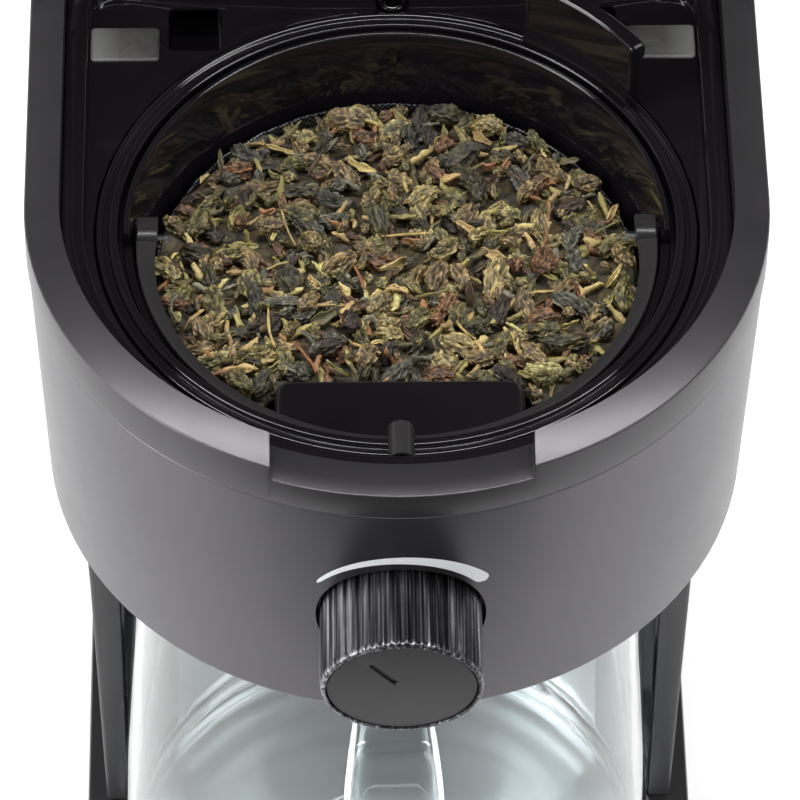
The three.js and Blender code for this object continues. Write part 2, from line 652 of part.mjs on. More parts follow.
function headLiner() {
  const floor = below(WELL_DEPTH);
  const flangeTop = below(RIM_LIP_DEPTH + FIT);
  const ledgePlan = dOutline(LEDGE_HALF, OPENING_BACK - LEDGE_GAP, WELL_CORNER);
  const ledge = prism(ledgePlan, flangeTop, below(LEDGE_DEPTH));
  const flangeHalf = OPENING_HALF + FLANGE_REACH;
  const flangeLine = dOutline(flangeHalf, OPENING_BACK + FLANGE_REACH);
  const flange = prism(flangeLine, flangeTop - LINER_WALL, flangeTop);
  const tray = prism(
    dOutline(WELL_HALF + LINER_WALL, WELL_BACK + LINER_WALL, WELL_CORNER + LINER_WALL),
    floor - LINER_WALL,
    flangeTop,
  );
  const cupFoot = below(CUP_DEPTH);
  const cup = rod(CUP_RADIUS + LINER_WALL, cupFoot - LINER_WALL, floor, WIDE_STEPS);
  const keyOuter = rod(KEY_RADIUS + LINER_WALL, cupFoot - LINER_WALL, floor, WIDE_STEPS).intersect(
    block(-KEY_HALF - LINER_WALL, KEY_HALF + LINER_WALL, -HEAD_HALF_WIDTH, 0, cupFoot - LINER_WALL, floor),
  );
  const well = prism(dOutline(WELL_HALF, WELL_BACK, WELL_CORNER), floor, RIM_HEIGHT + OVERRUN);
  const bore = rod(CUP_RADIUS, cupFoot, floor + OVERRUN, WIDE_STEPS);
  const key = rod(KEY_RADIUS, cupFoot, floor + FIT, WIDE_STEPS).intersect(
    block(-KEY_HALF, KEY_HALF, -HEAD_HALF_WIDTH, 0, cupFoot, floor + FIT),
  );
  const drain = rod(CUP_DRAIN_RADIUS, cupFoot - OVERRUN, cupFoot + OVERRUN, WIDE_STEPS);
  const slotLow = floor + SLOT_LIFT;
  const slots = [-1, 1].map((side) =>
    block(
      side * SLOT_CENTRE - SLOT_WIDTH / 2,
      side * SLOT_CENTRE + SLOT_WIDTH / 2,
      WELL_BACK - LINER_WALL,
      WELL_BACK + OVERRUN,
      slotLow,
      slotLow + SLOT_HEIGHT,
    ),
  );
  const outletBore = rod(OUTLET_RADIUS + FIT, -OVERRUN, OVERRUN);
  const outletHole = moved(outletBore, alongY(0, WELL_BACK, below(OUTLET_DEPTH)));
  const shaftHole = onKnobAxis(rod(SHAFT_RADIUS + RUN, -SHAFT_END - OVERRUN, -BEZEL_SUNK));
  const body = joined([ledge, flange, tray, cup, keyOuter]);
  const cuts = [well, bore, key, drain, ...slots, outletHole, shaftHole];
  return cuts.reduce((left, cut) => left.subtract(cut), body);
}

function headUnderside() {
  const half = HEAD_HALF_WIDTH - HEAD_TAPER - SHELL_WALL - FIT;
  const top = UNDERSIDE_BOTTOM + UNDERSIDE_THICKNESS;
  const plate = prism(dOutline(half, BAND_INNER_BACK - FIT), UNDERSIDE_BOTTOM, top);
  const hole = rod(UNDERSIDE_HOLE, UNDERSIDE_BOTTOM - OVERRUN, top + OVERRUN, WIDE_STEPS);
  const slot = block(
    -HOSE_SLOT_HALF, HOSE_SLOT_HALF, HOSE_SLOT_FRONT, HOSE_SLOT_BACK,
    UNDERSIDE_BOTTOM - OVERRUN, top + OVERRUN,
  );
  return plate.subtract(hole).subtract(slot);
}

// Stub in the liner's rear wall that the hot water leaves by, with a collar on the wall's front face
function waterOutlet() {
  const collar = [[OUTLET_BORE, -OUTLET_PROUD], [OUTLET_COLLAR, -OUTLET_PROUD + FIT], [OUTLET_COLLAR, -FIT]];
  const tail = [[OUTLET_RADIUS, -FIT], [OUTLET_RADIUS, OUTLET_TAIL], [OUTLET_BORE, OUTLET_TAIL]];
  return moved(revolve([...collar, ...tail], SMALL_STEPS), alongY(0, WELL_BACK, below(OUTLET_DEPTH)));
}

// The lid is drawn closed over the head and then swung open about its hinge
const lidWallTop = LID_FOOT + LID_WALL_HEIGHT;

function lidOuter(inset) {
  const half = HEAD_HALF_WIDTH - inset;
  const section = (shrink, z) => ({
    points: dOutline(half - shrink, LID_BACK - inset - shrink, HEAD_CORNER - inset),
    z: z - inset,
  });
  const sections = [section(0, LID_FOOT), section(LID_DRAFT, lidWallTop)];
  for (let i = 1; i <= ROUND_STEPS; i++) {
    const turn = (Math.PI / 2) * (i / ROUND_STEPS);
    const shrink = LID_DRAFT + LID_ROUND_WIDTH * (1 - Math.cos(turn));
    sections.push(section(shrink, lidWallTop + LID_ROUND_HEIGHT * Math.sin(turn)));
  }
  sections.push(section(HEAD_HALF_WIDTH - LID_CROWN_HALF, lidWallTop + LID_ROUND_HEIGHT + LID_CROWN));
  return loft(sections);
}

function lidShell() {
  const arms = [-1, 1].map((side) => {
    const x = side * HINGE_CENTRE;
    const half = HINGE_ARM / 2;
    const eye = moved(rod(HINGE_EYE, -half, half), alongX(x, HINGE_BACK, HINGE_HEIGHT));
    const root = LID_BACK - LID_WALL;
    const low = HINGE_HEIGHT - HINGE_EYE / 2;
    return eye.add(block(x - half, x + half, root, HINGE_BACK, low, HINGE_HEIGHT + HINGE_EYE));
  });
  const pinBore = rod(HINGE_PIN_RADIUS + FIT, -HEAD_HALF_WIDTH, HEAD_HALF_WIDTH);
  const bore = moved(pinBore, alongX(0, HINGE_BACK, HINGE_HEIGHT));
  const skin = lidOuter(0).subtract(lidOuter(LID_WALL));
  const tabHalf = NOTCH_WIDTH / 2 - RUN;
  const tab = frontBand(
    HEAD_HALF_WIDTH, HEAD_HALF_WIDTH - LID_TAB_THICKNESS, tabHalf, below(LID_TAB_DEPTH), LID_FOOT + LID_WALL,
  );
  return joined([skin, tab, ...arms]).subtract(bore);
}

function lidSpreader() {
  const low = RIM_HEIGHT + SPREADER_LIFT;
  const roundEdge = HEAD_HALF_WIDTH - LID_DRAFT - LID_ROUND_WIDTH;
  const postEdge = SPREADER_POST_CENTRE + SPREADER_POST_RADIUS + LID_WALL;
  const crown = (LID_CROWN * (roundEdge - postEdge)) / (roundEdge - LID_CROWN_HALF);
  const ceiling = lidWallTop + LID_ROUND_HEIGHT - LID_WALL + crown;
  const dish = revolve([
    [0, low],
    [SPREADER_RADIUS, low],
    [SPREADER_RADIUS, low + SPREADER_DEPTH],
    [SPREADER_RADIUS - SPREADER_WALL, low + SPREADER_DEPTH],
    [SPREADER_RADIUS - SPREADER_WALL, low + SPREADER_WALL],
    [0, low + SPREADER_WALL],
  ]);
  const around = (count, radius, solid, phase = 0) =>
    Array.from({ length: count }, (_, i) =>
      moved(solid, aboutZ((2 * Math.PI * (i + phase)) / count).multiply(shift(radius, 0, 0))),
    );
  const posts = around(4, SPREADER_POST_CENTRE, rod(SPREADER_POST_RADIUS, low, ceiling - FIT), 1 / 2);
  const hole = rod(SPREADER_HOLE_RADIUS, low - OVERRUN, low + SPREADER_WALL + OVERRUN, 2 * CORNER_STEPS);
  return joined([dish, ...posts]).subtract(joined(around(SPREADER_HOLES, SPREADER_HOLE_CIRCLE, hole)));
}

function hingePin(side) {
  const reach = HINGE_ARM / 2 + RUN + HINGE_EAR;
  return moved(rod(HINGE_PIN_RADIUS, -reach, reach), alongX(side * HINGE_CENTRE, HINGE_BACK, HINGE_HEIGHT));
}

// Outline of a fluted circle: each flute has a flat crest and a flat root
function flutedOutline(radius, depth) {
  const shares = [0, 0.3, 0.5, 0.8];
  return Array.from({ length: KNOB_FLUTES }, (_, i) =>
    shares.map((share, n) => {
      const angle = (2 * Math.PI * (i + share)) / KNOB_FLUTES;
      const reach = n < 2 ? radius : radius - depth;
      return [reach * Math.cos(angle), reach * Math.sin(angle)];
    }),
  ).flat();
}

function knobBody() {
  const front = KNOB_REACH;
  const body = loft([
    { points: flutedOutline(KNOB_RADIUS, KNOB_FLUTE_DEPTH), z: -KNOB_SUNK },
    { points: flutedOutline(KNOB_RADIUS, KNOB_FLUTE_DEPTH), z: front - KNOB_CHAMFER },
    { points: flutedOutline(KNOB_RADIUS - KNOB_CHAMFER, 0), z: front },
  ]);
  const ceiling = front - KNOB_FRONT;
  const inside = tube(KNOB_RADIUS - KNOB_WALL, KNOB_HUB, -KNOB_SUNK - OVERRUN, ceiling, WIDE_STEPS / 2);
  const dishFloor = front - FACE_RECESS - FACE_THICKNESS - FIT;
  const dish = rod(FACE_RADIUS + FIT, dishFloor, front + OVERRUN, WIDE_STEPS);
  const bore = rod(SHAFT_RADIUS + FIT, -KNOB_SUNK - OVERRUN, front - KNOB_FRONT - FIT);
  return body.subtract(inside).subtract(dish).subtract(bore);
}

function knobFace() {
  const top = KNOB_REACH - FACE_RECESS;
  const disc = rod(FACE_RADIUS, top - FACE_THICKNESS, top, WIDE_STEPS);
  const half = MARK_WIDTH / 2;
  const mark = block(-half, half, MARK_INNER, MARK_OUTER, top - MARK_DEPTH, top + OVERRUN);
  return disc.subtract(moved(mark, aboutZ(-KNOB_REST)));
}

function knobShaft() {
  const shaft = rod(SHAFT_RADIUS, -SHAFT_END, KNOB_REACH - KNOB_FRONT - RUN);
  const grooveFloor = SHAFT_RADIUS - CLIP_THICKNESS;
  const groove = tube(SHAFT_RADIUS + OVERRUN, grooveFloor, -CLIP_SEAT - CLIP_THICKNESS, -CLIP_SEAT);
  const half = TONGUE_WIDTH / 2;
  const tongue = block(-half, half, -TONGUE_HALF, TONGUE_HALF, -SHAFT_END - TONGUE_REACH, -SHAFT_END + FIT);
  return shaft.subtract(groove).add(tongue);
}

function knobBezel() {
  const back = -BEZEL_SUNK - BEZEL_THICKNESS;
  const plate = rod(BEZEL_RADIUS, back, -BEZEL_SUNK, WIDE_STEPS);
  const bush = rod(BEZEL_BUSH_RADIUS, back - BEZEL_BUSH_LENGTH, back + FIT);
  return plate.add(bush).subtract(rod(SHAFT_RADIUS + RUN, back - OVERRUN, OVERRUN));
}

// Snap ring in the shaft's groove, inside the liner
function knobClip() {
  const low = -CLIP_SEAT - CLIP_THICKNESS + FIT / 2;
  const ring = tube(CLIP_RADIUS, SHAFT_RADIUS - CLIP_THICKNESS + FIT, low, -CLIP_SEAT - FIT / 2);
  const half = SHAFT_RADIUS - CLIP_THICKNESS + FIT;
  return ring.subtract(block(-half, half, -CLIP_RADIUS - OVERRUN, 0, low - OVERRUN, low + OVERRUN));
}

// The shutter hangs on the basket's front boss, and the shaft's tongue turns it by a slot open at its foot
function bypassShutter() {
  const back = -SHUTTER_FRONT - SHUTTER_THICKNESS;
  const disc = rod(SHUTTER_RADIUS, back, -SHUTTER_FRONT, WIDE_STEPS / 2);
  const stub = rod(SHUTTER_STUB_RADIUS, back - SHUTTER_STUB_LENGTH, back + FIT);
  const half = TONGUE_WIDTH / 2 + FIT;
  const slot = block(
    -half, half, -SHUTTER_RADIUS - OVERRUN, TONGUE_HALF + RUN, -SHUTTER_FRONT - SHUTTER_SLOT_DEPTH, OVERRUN,
  );
  const ports = SHUTTER_PORT_ANGLES.map((angle) => shutterPort(angle, back - OVERRUN, 0));
  return ports.reduce((left, port) => left.subtract(port), disc.add(stub).subtract(slot));
}

const shutterPort = (angle, low, high) =>
  moved(rod(SHUTTER_PORT_RADIUS, low, high), aboutZ(angle).multiply(shift(SHUTTER_PORT_CIRCLE, 0, 0)));

function basketInner(depth) {
  const share = (depth - BASKET_SEAT_DEPTH) / (BASKET_DEPTH - BASKET_SEAT_DEPTH);
  return BASKET_SEAT_INNER + (BASKET_FOOT_INNER - BASKET_SEAT_INNER) * share;
}

function brewBasket() {
  const floorDepth = BASKET_DEPTH - BASKET_FLOOR - BASKET_FUNNEL;
  const skirtFoot = below(WELL_DEPTH) + FIT;
  const flangeTop = below(BASKET_FLANGE_DEPTH);
  const flangeFoot = flangeTop - BASKET_FLANGE_THICKNESS;
  const body = revolve([
    [SPOUT_BORE, below(BASKET_DEPTH + SPOUT_DROP)],
    [SPOUT_RADIUS, below(BASKET_DEPTH + SPOUT_DROP)],
    [SPOUT_RADIUS, below(BASKET_DEPTH)],
    [basketInner(BASKET_DEPTH) + BASKET_WALL - BASKET_FUNNEL, below(BASKET_DEPTH)],
    [basketInner(BASKET_DEPTH) + BASKET_WALL, below(floorDepth)],
    [BASKET_RIDGE_INNER, flangeFoot - BASKET_FLANGE_THICKNESS],
    [BASKET_FLANGE_RADIUS - BASKET_SKIRT_WALL, flangeFoot],
    [BASKET_FLANGE_RADIUS - BASKET_SKIRT_WALL, skirtFoot],
    [BASKET_FLANGE_RADIUS, skirtFoot],
    [BASKET_FLANGE_RADIUS, flangeTop],
    [BASKET_RIDGE_OUTER, flangeTop],
    [BASKET_RIDGE_OUTER, below(BASKET_RIDGE_DEPTH)],
    [BASKET_RIDGE_INNER, below(BASKET_RIDGE_DEPTH)],
    [BASKET_RIDGE_INNER, below(BASKET_SEAT_DEPTH)],
    [BASKET_SEAT_INNER, below(BASKET_SEAT_DEPTH)],
    [basketInner(floorDepth), below(floorDepth)],
    [SPOUT_BORE, below(BASKET_DEPTH - BASKET_FLOOR)],
  ]);
  const bossFront = -SHUTTER_FRONT - SHUTTER_THICKNESS - FIT;
  const bossBack = -PANEL_RADIUS + BASKET_FOOT_INNER;
  const bossReach = rod(BASKET_SEAT_INNER + BASKET_WALL / 2, below(BASKET_DEPTH), flangeTop, WIDE_STEPS);
  const boss = onKnobAxis(rod(BOSS_RADIUS, bossBack, bossFront)).subtract(
    bossReach.intersect(loft([
      { points: circle(basketInner(BASKET_DEPTH) + FIT), z: below(BASKET_DEPTH) },
      { points: circle(BASKET_SEAT_INNER + FIT), z: flangeTop },
    ])),
  );
  const pivot = onKnobAxis(rod(SHUTTER_STUB_RADIUS + RUN / 2, bossBack - OVERRUN, OVERRUN));
  const ports = SHUTTER_PORT_ANGLES.map(
    (angle) => onKnobAxis(shutterPort(angle, bossBack - OVERRUN, OVERRUN)),
  );
  return ports.reduce((left, port) => left.subtract(port), body.add(boss).add(basketGrip()).subtract(pivot));
}

function circle(radius) {
  return Array.from({ length: WIDE_STEPS }, (_, i) => {
    const angle = (2 * Math.PI * i) / WIDE_STEPS;
    return [radius * Math.cos(angle), radius * Math.sin(angle)];
  });
}

// Part of a ring between two angles, as an outline
function arcOutline(inner, outer, start, end, steps = 2 * CORNER_STEPS) {
  const edge = (radius, from, to) =>
    Array.from({ length: steps + 1 }, (_, i) => {
      const angle = from + (to - from) * (i / steps);
      return [radius * Math.cos(angle), radius * Math.sin(angle)];
    });
  return [...edge(outer, start, end), ...edge(inner, end, start)];
}

// Curved grip that stands on the flange at the rear right, with an overhanging cap for the fingers
function basketGrip() {
  const foot = below(BASKET_FLANGE_DEPTH + BASKET_FLANGE_THICKNESS);
  const top = RIM_HEIGHT + GRIP_TOP;
  const round = GRIP_CAP_HEIGHT / 2;
  const trim = round / GRIP_CAP_OUTER;
  const edge = round / 2;
  const wall = prism(arcOutline(GRIP_INNER, GRIP_OUTER, GRIP_START, GRIP_END), foot, top - round);
  const plan = arcOutline(GRIP_INNER, GRIP_CAP_OUTER, GRIP_START, GRIP_END);
  const topPlan = arcOutline(GRIP_INNER + edge, GRIP_CAP_OUTER - edge, GRIP_START + trim, GRIP_END - trim);
  const cap = loft([
    { points: plan, z: top - GRIP_CAP_HEIGHT },
    { points: plan, z: top - edge },
    { points: topPlan, z: top },
  ]);
  return wall.add(cap);
}

function filterRadius(depth) {
  const share = (depth - FILTER_LIP_DEPTH) / (FILTER_DEPTH - FILTER_LIP_DEPTH);
  return FILTER_RADIUS + (FILTER_FOOT_RADIUS - FILTER_RADIUS) * share;
}

function pocketBlock(inset, foot) {
  const half = POCKET_HALF - inset;
  const corner = POCKET_CORNER - inset;
  const front = -FILTER_LIP_RADIUS + (inset > 0 ? -OVERRUN : 0);
  const plan = (shrink) => boxOutline(half - shrink, front, -POCKET_BACK - inset - shrink, SHARP, corner);
  const top = below(POCKET_DEPTH + inset);
  const round = POCKET_CORNER / 2;
  return loft([
    { points: plan(0), z: foot },
    { points: plan(0), z: top - round },
    { points: plan(round * (1 - Math.SQRT1_2)), z: top - round * (1 - Math.SQRT1_2) },
    { points: plan(round), z: top },
  ]);
}

function teaFilter() {
  const lipTop = below(FILTER_LIP_DEPTH);
  const lipFoot = lipTop - FILTER_LIP_THICKNESS;
  const floorDepth = FILTER_DEPTH - FILTER_FLOOR;
  const body = revolve([
    [0, below(FILTER_DEPTH)],
    [FILTER_FOOT_RADIUS, below(FILTER_DEPTH)],
    [FILTER_RADIUS, lipFoot],
    [FILTER_LIP_RADIUS, lipFoot],
    [FILTER_LIP_RADIUS, lipTop],
    [FILTER_RADIUS - FILTER_WALL, lipTop],
    [filterRadius(floorDepth) - FILTER_WALL, below(floorDepth)],
    [0, below(floorDepth)],
  ]);
  const reachRadius = FILTER_FOOT_RADIUS - FILTER_WALL / 2;
  const reach = rod(reachRadius, below(FILTER_DEPTH), below(POCKET_DEPTH), WIDE_STEPS);
  const upper = revolve([
    [0, below(FILTER_DEPTH)],
    [FILTER_FOOT_RADIUS - FILTER_WALL / 2, below(FILTER_DEPTH)],
    [FILTER_RADIUS - FILTER_WALL, below(POCKET_DEPTH)],
    [0, below(POCKET_DEPTH)],
  ]);
  const pocket = pocketBlock(0, below(FILTER_DEPTH)).intersect(reach.add(upper));
  const hollow = pocketBlock(FILTER_WALL, below(FILTER_DEPTH - FILTER_FLOOR));
  const windows = Array.from({ length: WINDOW_COUNT }, (_, i) => {
    const angle = (2 * Math.PI * (i + 1 / 2)) / WINDOW_COUNT;
    const low = below(WINDOW_BOTTOM);
    const reachOut = FILTER_LIP_RADIUS;
    const opening = block(FLOOR_WINDOW_OUTER, reachOut, -WINDOW_HALF, WINDOW_HALF, low, below(WINDOW_TOP));
    return { angle, opening: moved(opening, aboutZ(angle)) };
  }).filter(({ angle }) => Math.abs(angle - 1.5 * Math.PI) > Math.PI / WINDOW_COUNT + WELD);
  const floorFoot = below(FILTER_DEPTH + OVERRUN);
  const floorTop = below(floorDepth - FIT);
  const spokes = WINDOW_COUNT / 2;
  const floorWindows = Array.from({ length: spokes }, (_, i) => {
    const start = (2 * Math.PI * (i + 1 / 2)) / spokes + SLOT_WIDTH / FLOOR_WINDOW_OUTER;
    const end = start + (2 * Math.PI) / spokes - (2 * SLOT_WIDTH) / FLOOR_WINDOW_OUTER;
    return prism(arcOutline(FLOOR_WINDOW_INNER, FLOOR_WINDOW_OUTER, start, end), floorFoot, floorTop);
  });
  const keptFloor = pocketBlock(-FILTER_WALL, floorFoot - OVERRUN);
  const floorCuts = floorWindows.map((cut) => cut.subtract(keptFloor));
  const cuts = [...windows.map(({ opening }) => opening), ...floorCuts];
  const pinReach = FILTER_RADIUS;
  const drill = rod(BAIL_PIN_RADIUS + FIT, -pinReach, pinReach);
  const pinHole = moved(drill, alongX(0, 0, below(BAIL_PIN_DEPTH)));
  const pinRoom = block(
    -FILTER_LIP_RADIUS, FILTER_LIP_RADIUS, -BAIL_PIN_HOLE, BAIL_PIN_HOLE,
    lipFoot - OVERRUN, lipTop + OVERRUN,
  );
  return cuts.reduce((left, cut) => left.subtract(cut), body.add(pocket).subtract(hollow))
    .subtract(pinHole.intersect(pinRoom));
}

// Cup of woven mesh that lines the filter's windows
function filterMesh() {
  const inner = (depth) => filterRadius(depth) - FILTER_WALL - FIT;
  const floor = FILTER_DEPTH - FILTER_FLOOR - FIT;
  const cup = revolve([
    [0, below(floor)],
    [inner(floor), below(floor)],
    [inner(MESH_TOP), below(MESH_TOP)],
    [inner(MESH_TOP) - MESH_THICKNESS, below(MESH_TOP)],
    [inner(floor) - MESH_THICKNESS, below(floor - MESH_THICKNESS)],
    [0, below(floor - MESH_THICKNESS)],
  ]);
  return cup.subtract(pocketBlock(-FIT, below(FILTER_DEPTH + OVERRUN)));
}

// Flat bail folded down inside the filter's lip, with an arched finger tab over the lip in front
function filterBail() {
  const top = below(BAIL_DEPTH);
  const low = top - BAIL_THICKNESS;
  const pin = below(BAIL_PIN_DEPTH);
  const strip = prism(arcOutline(BAIL_INNER, BAIL_OUTER, Math.PI, 2 * Math.PI, FRONT_STEPS), low, top);
  const arms = [-1, 1].map((side) => {
    const xs = [side * BAIL_INNER, side * BAIL_OUTER].sort((a, b) => a - b);
    const eye = moved(rod(BAIL_EYE_RADIUS, xs[0], xs[1]), alongX(0, 0, pin));
    return eye.add(block(xs[0], xs[1], 0, BAIL_TAIL, low, top));
  });
  const tabLow = top + BAIL_TAB_RISE;
  const front = -BAIL_OUTER - BAIL_TAB_REACH;
  const half = BAIL_TAB_HALF;
  const arch = (radius, back) => moved(rod(radius, front, back), alongY(0, 0, tabLow));
  const keep = block(-half, half, front, -BAIL_INNER, tabLow, tabLow + 2 * half);
  const riser = block(-half, half, -BAIL_OUTER, -BAIL_INNER - FIT, low, tabLow + BAIL_TAB_WALL);
  const tab = arch(half, -BAIL_INNER - FIT).intersect(keep)
    .subtract(arch(half - BAIL_TAB_WALL, -BAIL_OUTER)).add(riser);
  const holes = moved(rod(BAIL_PIN_HOLE, -FILTER_RADIUS, FILTER_RADIUS), alongX(0, 0, pin));
  return joined([strip, ...arms, tab]).subtract(holes);
}

function bailPin(side) {
  const near = BAIL_INNER - BAIL_PIN_RADIUS;
  const far = FILTER_RADIUS - FIT;
  const xs = [side * near, side * far].sort((a, b) => a - b);
  const head = [side * near, side * (BAIL_INNER - FIT)].sort((a, b) => a - b);
  return moved(
    rod(BAIL_PIN_RADIUS, ...xs, 2 * CORNER_STEPS).add(rod(2 * BAIL_PIN_RADIUS, ...head, 2 * CORNER_STEPS)),
    alongX(0, 0, below(BAIL_PIN_DEPTH)),
  );
}

// Heap of tea, a little lower at the back, clear of the front pocket
function teaLeaves() {
  const gap = FILTER_WALL + FIT + MESH_THICKNESS + TEA_GAP;
  const floor = FILTER_DEPTH - FILTER_FLOOR - MESH_THICKNESS - 2 * TEA_GAP;
  const heap = revolve([
    [0, below(floor)],
    [filterRadius(floor) - gap, below(floor)],
    [filterRadius(POCKET_DEPTH) - gap, below(POCKET_DEPTH)],
    [0, below(POCKET_DEPTH)],
  ]);
  const size = 2 * FILTER_RADIUS;
  const above = moved(
    block(-size, size, -size, size, 0, size),
    shift(0, 0, below(TEA_TOP)).multiply(new THREE.Matrix4().makeRotationX(TEA_SLOPE)),
  );
  return heap.subtract(above).subtract(pocketBlock(-TEA_GAP, below(FILTER_DEPTH + OVERRUN)));
}

// Solid swept along a line of stations in the YZ plane; each station has its own width
function sweep(stations, sectionSteps) {
  const rings = stations.map(({ y, z, width, thickness }, i) => {
    const before = stations[Math.max(i - 1, 0)];
    const after = stations[Math.min(i + 1, stations.length - 1)];
    const along = new THREE.Vector2(after.y - before.y, after.z - before.z).normalize();
    return Array.from({ length: sectionSteps }, (_, n) => {
      const angle = (2 * Math.PI * n) / sectionSteps;
      const across = (width / 2) * Math.cos(angle);
      const out = (thickness / 2) * Math.sin(angle);
      return [across, y - along.y * out, z + along.x * out];
    });
  });
  const index = [];
  for (let i = 0; i < rings.length - 1; i++) {
    for (let n = 0; n < sectionSteps; n++) {
      const a = i * sectionSteps + n;
      const b = i * sectionSteps + ((n + 1) % sectionSteps);
      index.push(a, b, b + sectionSteps, a, b + sectionSteps, a + sectionSteps);
    }
  }
  const end = (rings.length - 1) * sectionSteps;
  for (let n = 1; n < sectionSteps - 1; n++) {
    index.push(0, n + 1, n, end, end + n, end + n + 1);
  }
  const geometry = new THREE.BufferGeometry();
  geometry.setAttribute('position', new THREE.Float32BufferAttribute(rings.flat(2), 3));
  geometry.setIndex(index);
  return solidOf(geometry);
}

const jugHeight = JUG_TOP - JUG_FOOT;
const jugShares = [
  [JUG_FOOT_RADIUS, JUG_CORNER / jugHeight],
  [JUG_WAIST_RADIUS, JUG_WAIST_SHARE],
  [JUG_MID_RADIUS, JUG_MID_SHARE],
  [JUG_SHOULDER_RADIUS, 1],
];

function jugHandle() {
  const top = JUG_TOP - HANDLE_TOP_DROP;
  const line = new THREE.CatmullRomCurve3(
    [
      [JUG_SHOULDER_RADIUS - JUG_WALL / 2, top],
      [(JUG_SHOULDER_RADIUS + HANDLE_REACH) / 2, top],
      [HANDLE_REACH - HANDLE_THICKNESS, top - HANDLE_THICKNESS / 2],
      [HANDLE_REACH, top - 2 * HANDLE_THICKNESS],
      [HANDLE_REACH - HANDLE_THICKNESS / 4, (top + HANDLE_GRIP_HEIGHT) / 2],
      [HANDLE_REACH - HANDLE_THICKNESS, HANDLE_GRIP_HEIGHT],
      [JUG_WAIST_RADIUS + HANDLE_THICKNESS, HANDLE_FOOT_HEIGHT + HANDLE_THICKNESS / 2],
      [JUG_WAIST_RADIUS - JUG_WALL / 2, HANDLE_FOOT_HEIGHT],
    ].map(([reach, z]) => new THREE.Vector3(0, -reach, z)),
    false,
    'centripetal',
  );
  const count = 5 * CORNER_STEPS;
  const stations = line.getSpacedPoints(count).map((point, i) => {
    const swell = Math.exp(-(((i / count - HANDLE_BULGE_SHARE) / HANDLE_SPREAD_SHARE) ** 2));
    const width = HANDLE_WIDTH + (HANDLE_BULGE - HANDLE_WIDTH) * swell;
    return { y: point.y, z: point.z, width, thickness: HANDLE_THICKNESS };
  });
  return sweep(stations, 2 * CORNER_STEPS);
}

// Pouring beak opposite the handle; with a wall's inset it gives the channel inside
function jugBeak(inset) {
  const base = Math.sqrt(JUG_SHOULDER_RADIUS ** 2 - BEAK_HALF ** 2) - JUG_WALL / 2 - 2 * inset;
  const half = BEAK_HALF - inset;
  const tipHalf = BEAK_TIP_HALF - inset / 2;
  const plan = (reach) => {
    const tip = JUG_SHOULDER_RADIUS + reach - inset;
    return [[-half, base], [half, base], [tipHalf, tip], [-tipHalf, tip]];
  };
  const sections = [{ points: plan(0), z: JUG_TOP - BEAK_DROP }, { points: plan(BEAK_REACH), z: JUG_TOP }];
  return loft(inset > 0 ? [...sections, { points: plan(BEAK_REACH), z: JUG_TOP + OVERRUN }] : sections);
}

function jug() {
  const outer = jugShares.map(([radius, share]) => [radius, JUG_FOOT + share * jugHeight]);
  const inner = jugShares.map(([radius, share]) => {
    const z = JUG_FOOT + share * jugHeight;
    return [radius - JUG_WALL, Math.max(z, JUG_FOOT + JUG_FLOOR + JUG_CORNER)];
  });
  const body = revolve([[0, JUG_FOOT], [JUG_FOOT_RADIUS - JUG_CORNER, JUG_FOOT], ...outer, [0, JUG_TOP]]);
  const inside = revolve([
    [0, JUG_FOOT + JUG_FLOOR],
    [JUG_FOOT_RADIUS - JUG_WALL - JUG_CORNER, JUG_FOOT + JUG_FLOOR],
    ...inner,
    [JUG_SHOULDER_RADIUS - JUG_WALL, JUG_TOP + OVERRUN],
    [0, JUG_TOP + OVERRUN],
  ]);
  return body.add(jugHandle()).add(jugBeak(0)).subtract(inside).subtract(jugBeak(JUG_WALL));
}

// Lid plugged into the jug's mouth: brewed through in the middle, poured through slots at the beak
function jugLid() {
  const seat = JUG_TOP + FIT;
  const plug = JUG_SHOULDER_RADIUS - JUG_WALL - RUN;
  const crown = seat + JUG_LID_FLANGE + JUG_LID_CROWN;
  const body = revolve([
    [JUG_LID_HOLE, crown - JUG_LID_CROWN - JUG_LID_WALL],
    [plug - JUG_LID_WALL, seat + FIT],
    [plug - JUG_LID_WALL, JUG_TOP - JUG_LID_PLUG],
    [plug, JUG_TOP - JUG_LID_PLUG],
    [plug, seat],
    [JUG_SHOULDER_RADIUS, seat],
    [JUG_SHOULDER_RADIUS, seat + JUG_LID_FLANGE],
    [plug, crown],
    [plug / 2, crown],
    [JUG_LID_HOLE, crown - JUG_LID_CROWN],
  ]);
  const slots = Array.from({ length: POUR_SLOTS }, (_, i) => {
    const x = (i - (POUR_SLOTS - 1) / 2) * POUR_SLOT_PITCH;
    const half = POUR_SLOT_WIDTH / 2;
    const low = JUG_TOP - JUG_LID_PLUG / 2;
    return block(x - half, x + half, plug - 3 * JUG_LID_WALL, plug + JUG_LID_WALL, low, seat + FIT);
  });
  return body.subtract(joined(slots));
}

function jugRest() {
  const top = REST_FOOT + REST_THICKNESS;
  const edge = REST_RECESS / 2;
  return revolve([
    [0, REST_FOOT], [REST_RADIUS, REST_FOOT], [REST_RADIUS, top - edge], [REST_RADIUS - edge, top], [0, top],
  ]);
}

